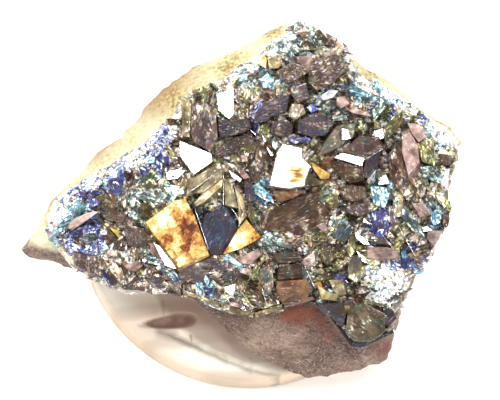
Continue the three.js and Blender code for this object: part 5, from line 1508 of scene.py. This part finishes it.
# %% Splinters
SPLINTERS = 1700
SPLINTER_LIMIT = 0.955
LEAST_HALF, HALF_RATIO = 0.18, 5.5
STREAM_SIZE, STREAM_SPREAD = 4.0, 0.5
BRIGHT_SHARE, BRIGHT_HALF = 0.3, 0.3
MIRROR_CLEARANCE = 0.16
IN_SUGAR_SHARE, SMALL_HALF = 0.25, 0.35

spots = spread_spots(SPLINTERS, 4, SPLINTER_LIMIT)
corner = 2 * math.pi * (np.arange(5) + rng.uniform(-0.35, 0.35, (SPLINTERS, 5))) / 5
long_half = LEAST_HALF * HALF_RATIO ** rng.uniform(0, 1, (SPLINTERS, 1))
short_half = long_half * rng.uniform(0.15, 0.7, (SPLINTERS, 1))
x, y = np.cos(corner) * long_half, np.sin(corner) * short_half
stream = math.pi * noise_at(spots, STREAM_SIZE, 21)[:, None]
turn = stream + rng.normal(0, STREAM_SPREAD, (SPLINTERS, 1))
facets = np.stack([x * np.cos(turn) - y * np.sin(turn), x * np.sin(turn) + y * np.cos(turn)], -1)
slope = np.tan(np.radians(rng.uniform(5, 50, (SPLINTERS, 1))))
way = rng.uniform(0, 2 * math.pi, (SPLINTERS, 1))
lean = slope * np.concatenate([np.cos(way), np.sin(way)], axis=1)

mirrors = np.array([lean_to(name) for name in SOFTBOXES])
from_mirrors = lean[:, None] - mirrors
nearest = np.linalg.norm(from_mirrors, axis=2).argmin(axis=1)
push = from_mirrors[np.arange(SPLINTERS), nearest]
push_out = np.maximum(1, MIRROR_CLEARANCE / np.linalg.norm(push, axis=1, keepdims=True))
lean = mirrors[nearest] + push * push_out
to_mirror = (rng.uniform(size=SPLINTERS) < BRIGHT_SHARE) & (long_half[:, 0] < BRIGHT_HALF)
lean[to_mirror] = mirrors[rng.integers(len(mirrors), size=to_mirror.sum())]

lift = rng.uniform(0.05, 0.55, SPLINTERS) * (1 - 0.7 * edge_share(spots) ** 4)
flare = long_half[:, 0] * rng.uniform(0.9, 4.0, SPLINTERS)
rings, growth = facet_crystals(ground_surface(*spots.T) + lift, lean, spots[:, None] + facets, flare)
small = (rng.uniform(size=SPLINTERS) < IN_SUGAR_SHARE) & (long_half[:, 0] < SMALL_HALF)
kept = (in_sugar(*spots.T) < HALF_SUGARED) | small
keep(spots[kept], rings[kept], growth[kept], long_half[kept, 0])
print(kept.sum(), "splinters,", (kept & to_mirror).sum(), "of them lean at a softbox")

# %% [markdown]
# Sugar is a dense lawn of tiny prisms on the mounds of the ground. They lean every way, so that
# some of them always mirror a light, which makes the mounds glitter.

# %% Sugar
SUGAR_DENSITY = 60
SUGAR_LIMIT = 0.97
SUGAR_SINK = 0.08

for u, v, radius, _ in SUGAR_PATCHES:
    count = int(SUGAR_DENSITY * radius ** 2 * math.pi)
    way, out = rng.uniform(0, 2 * math.pi, count), radius * np.sqrt(rng.uniform(size=count))
    spots = np.column_stack([u + out * np.cos(way), v + out * np.sin(way)])
    spots = spots[(edge_share(spots) < SUGAR_LIMIT) & ~inside_any(spots, outlines)]
    grow_prisms(spots, (0.15, 0.42), (0, 80), (0.25, 0.5), SUGAR_SINK)
print(sum(map(len, crystals.values())), "crystals in all")

# %% [markdown]
# The crystals of one finish become one piece, so the crust has few pieces although it has
# thousands of crystals. Every crystal is a closed body with faces that point outwards.

# %% Pieces of the crust
FACE_TONE = 0.08


def add_crystals(name, found, finish):
    """One mesh from many closed crystals, each an array of rings with its growth places. A
    crystal has a tone of its own, and each of its faces a little more."""
    points, growth, faces, tone, start = [], [], [], [], 0
    for rings, places, shade in found:
        levels, around, _ = rings.shape
        points.append(rings.reshape(-1, 3))
        growth.append(places.reshape(-1, 3))
        made = ring_faces(levels, around)
        faces += [[start + i for i in face] for face in made]
        tone.append(shade + rng.uniform(-FACE_TONE, FACE_TONE, len(made)))
        start += levels * around
    add_piece(name, face_to_part(np.concatenate(points)), faces, FINISHES[finish],
              "crystal_crust", growth=np.concatenate(growth), tone=np.concatenate(tone))


for finish, found in crystals.items():
    add_crystals(f"{finish}_crystals", found, finish)

# %% [markdown]
# ## Floor
#
# A plain pale sheet under the pad, bright enough to run out to white.

# %% Floor
FLOOR_HALF = 900.0

floor_material, _, floor_shader, _ = new_material("white_paper")
feed(floor_shader, {"Base Color": linear("#f6f5f1"), "Roughness": 0.9})
floor_mesh = bpy.data.meshes.new("floor")
floor_corners = np.array([[-1, -1, 0], [1, -1, 0], [1, 1, 0], [-1, 1, 0]]) * FLOOR_HALF * MM
floor_mesh.from_pydata(floor_corners.tolist(), [], [(0, 1, 2, 3)])
floor_mesh.materials.append(floor_material)
floor = bpy.data.objects.new("floor", floor_mesh)
bpy.context.scene.collection.objects.link(floor)
print("floor", 2 * FLOOR_HALF, "mm wide")
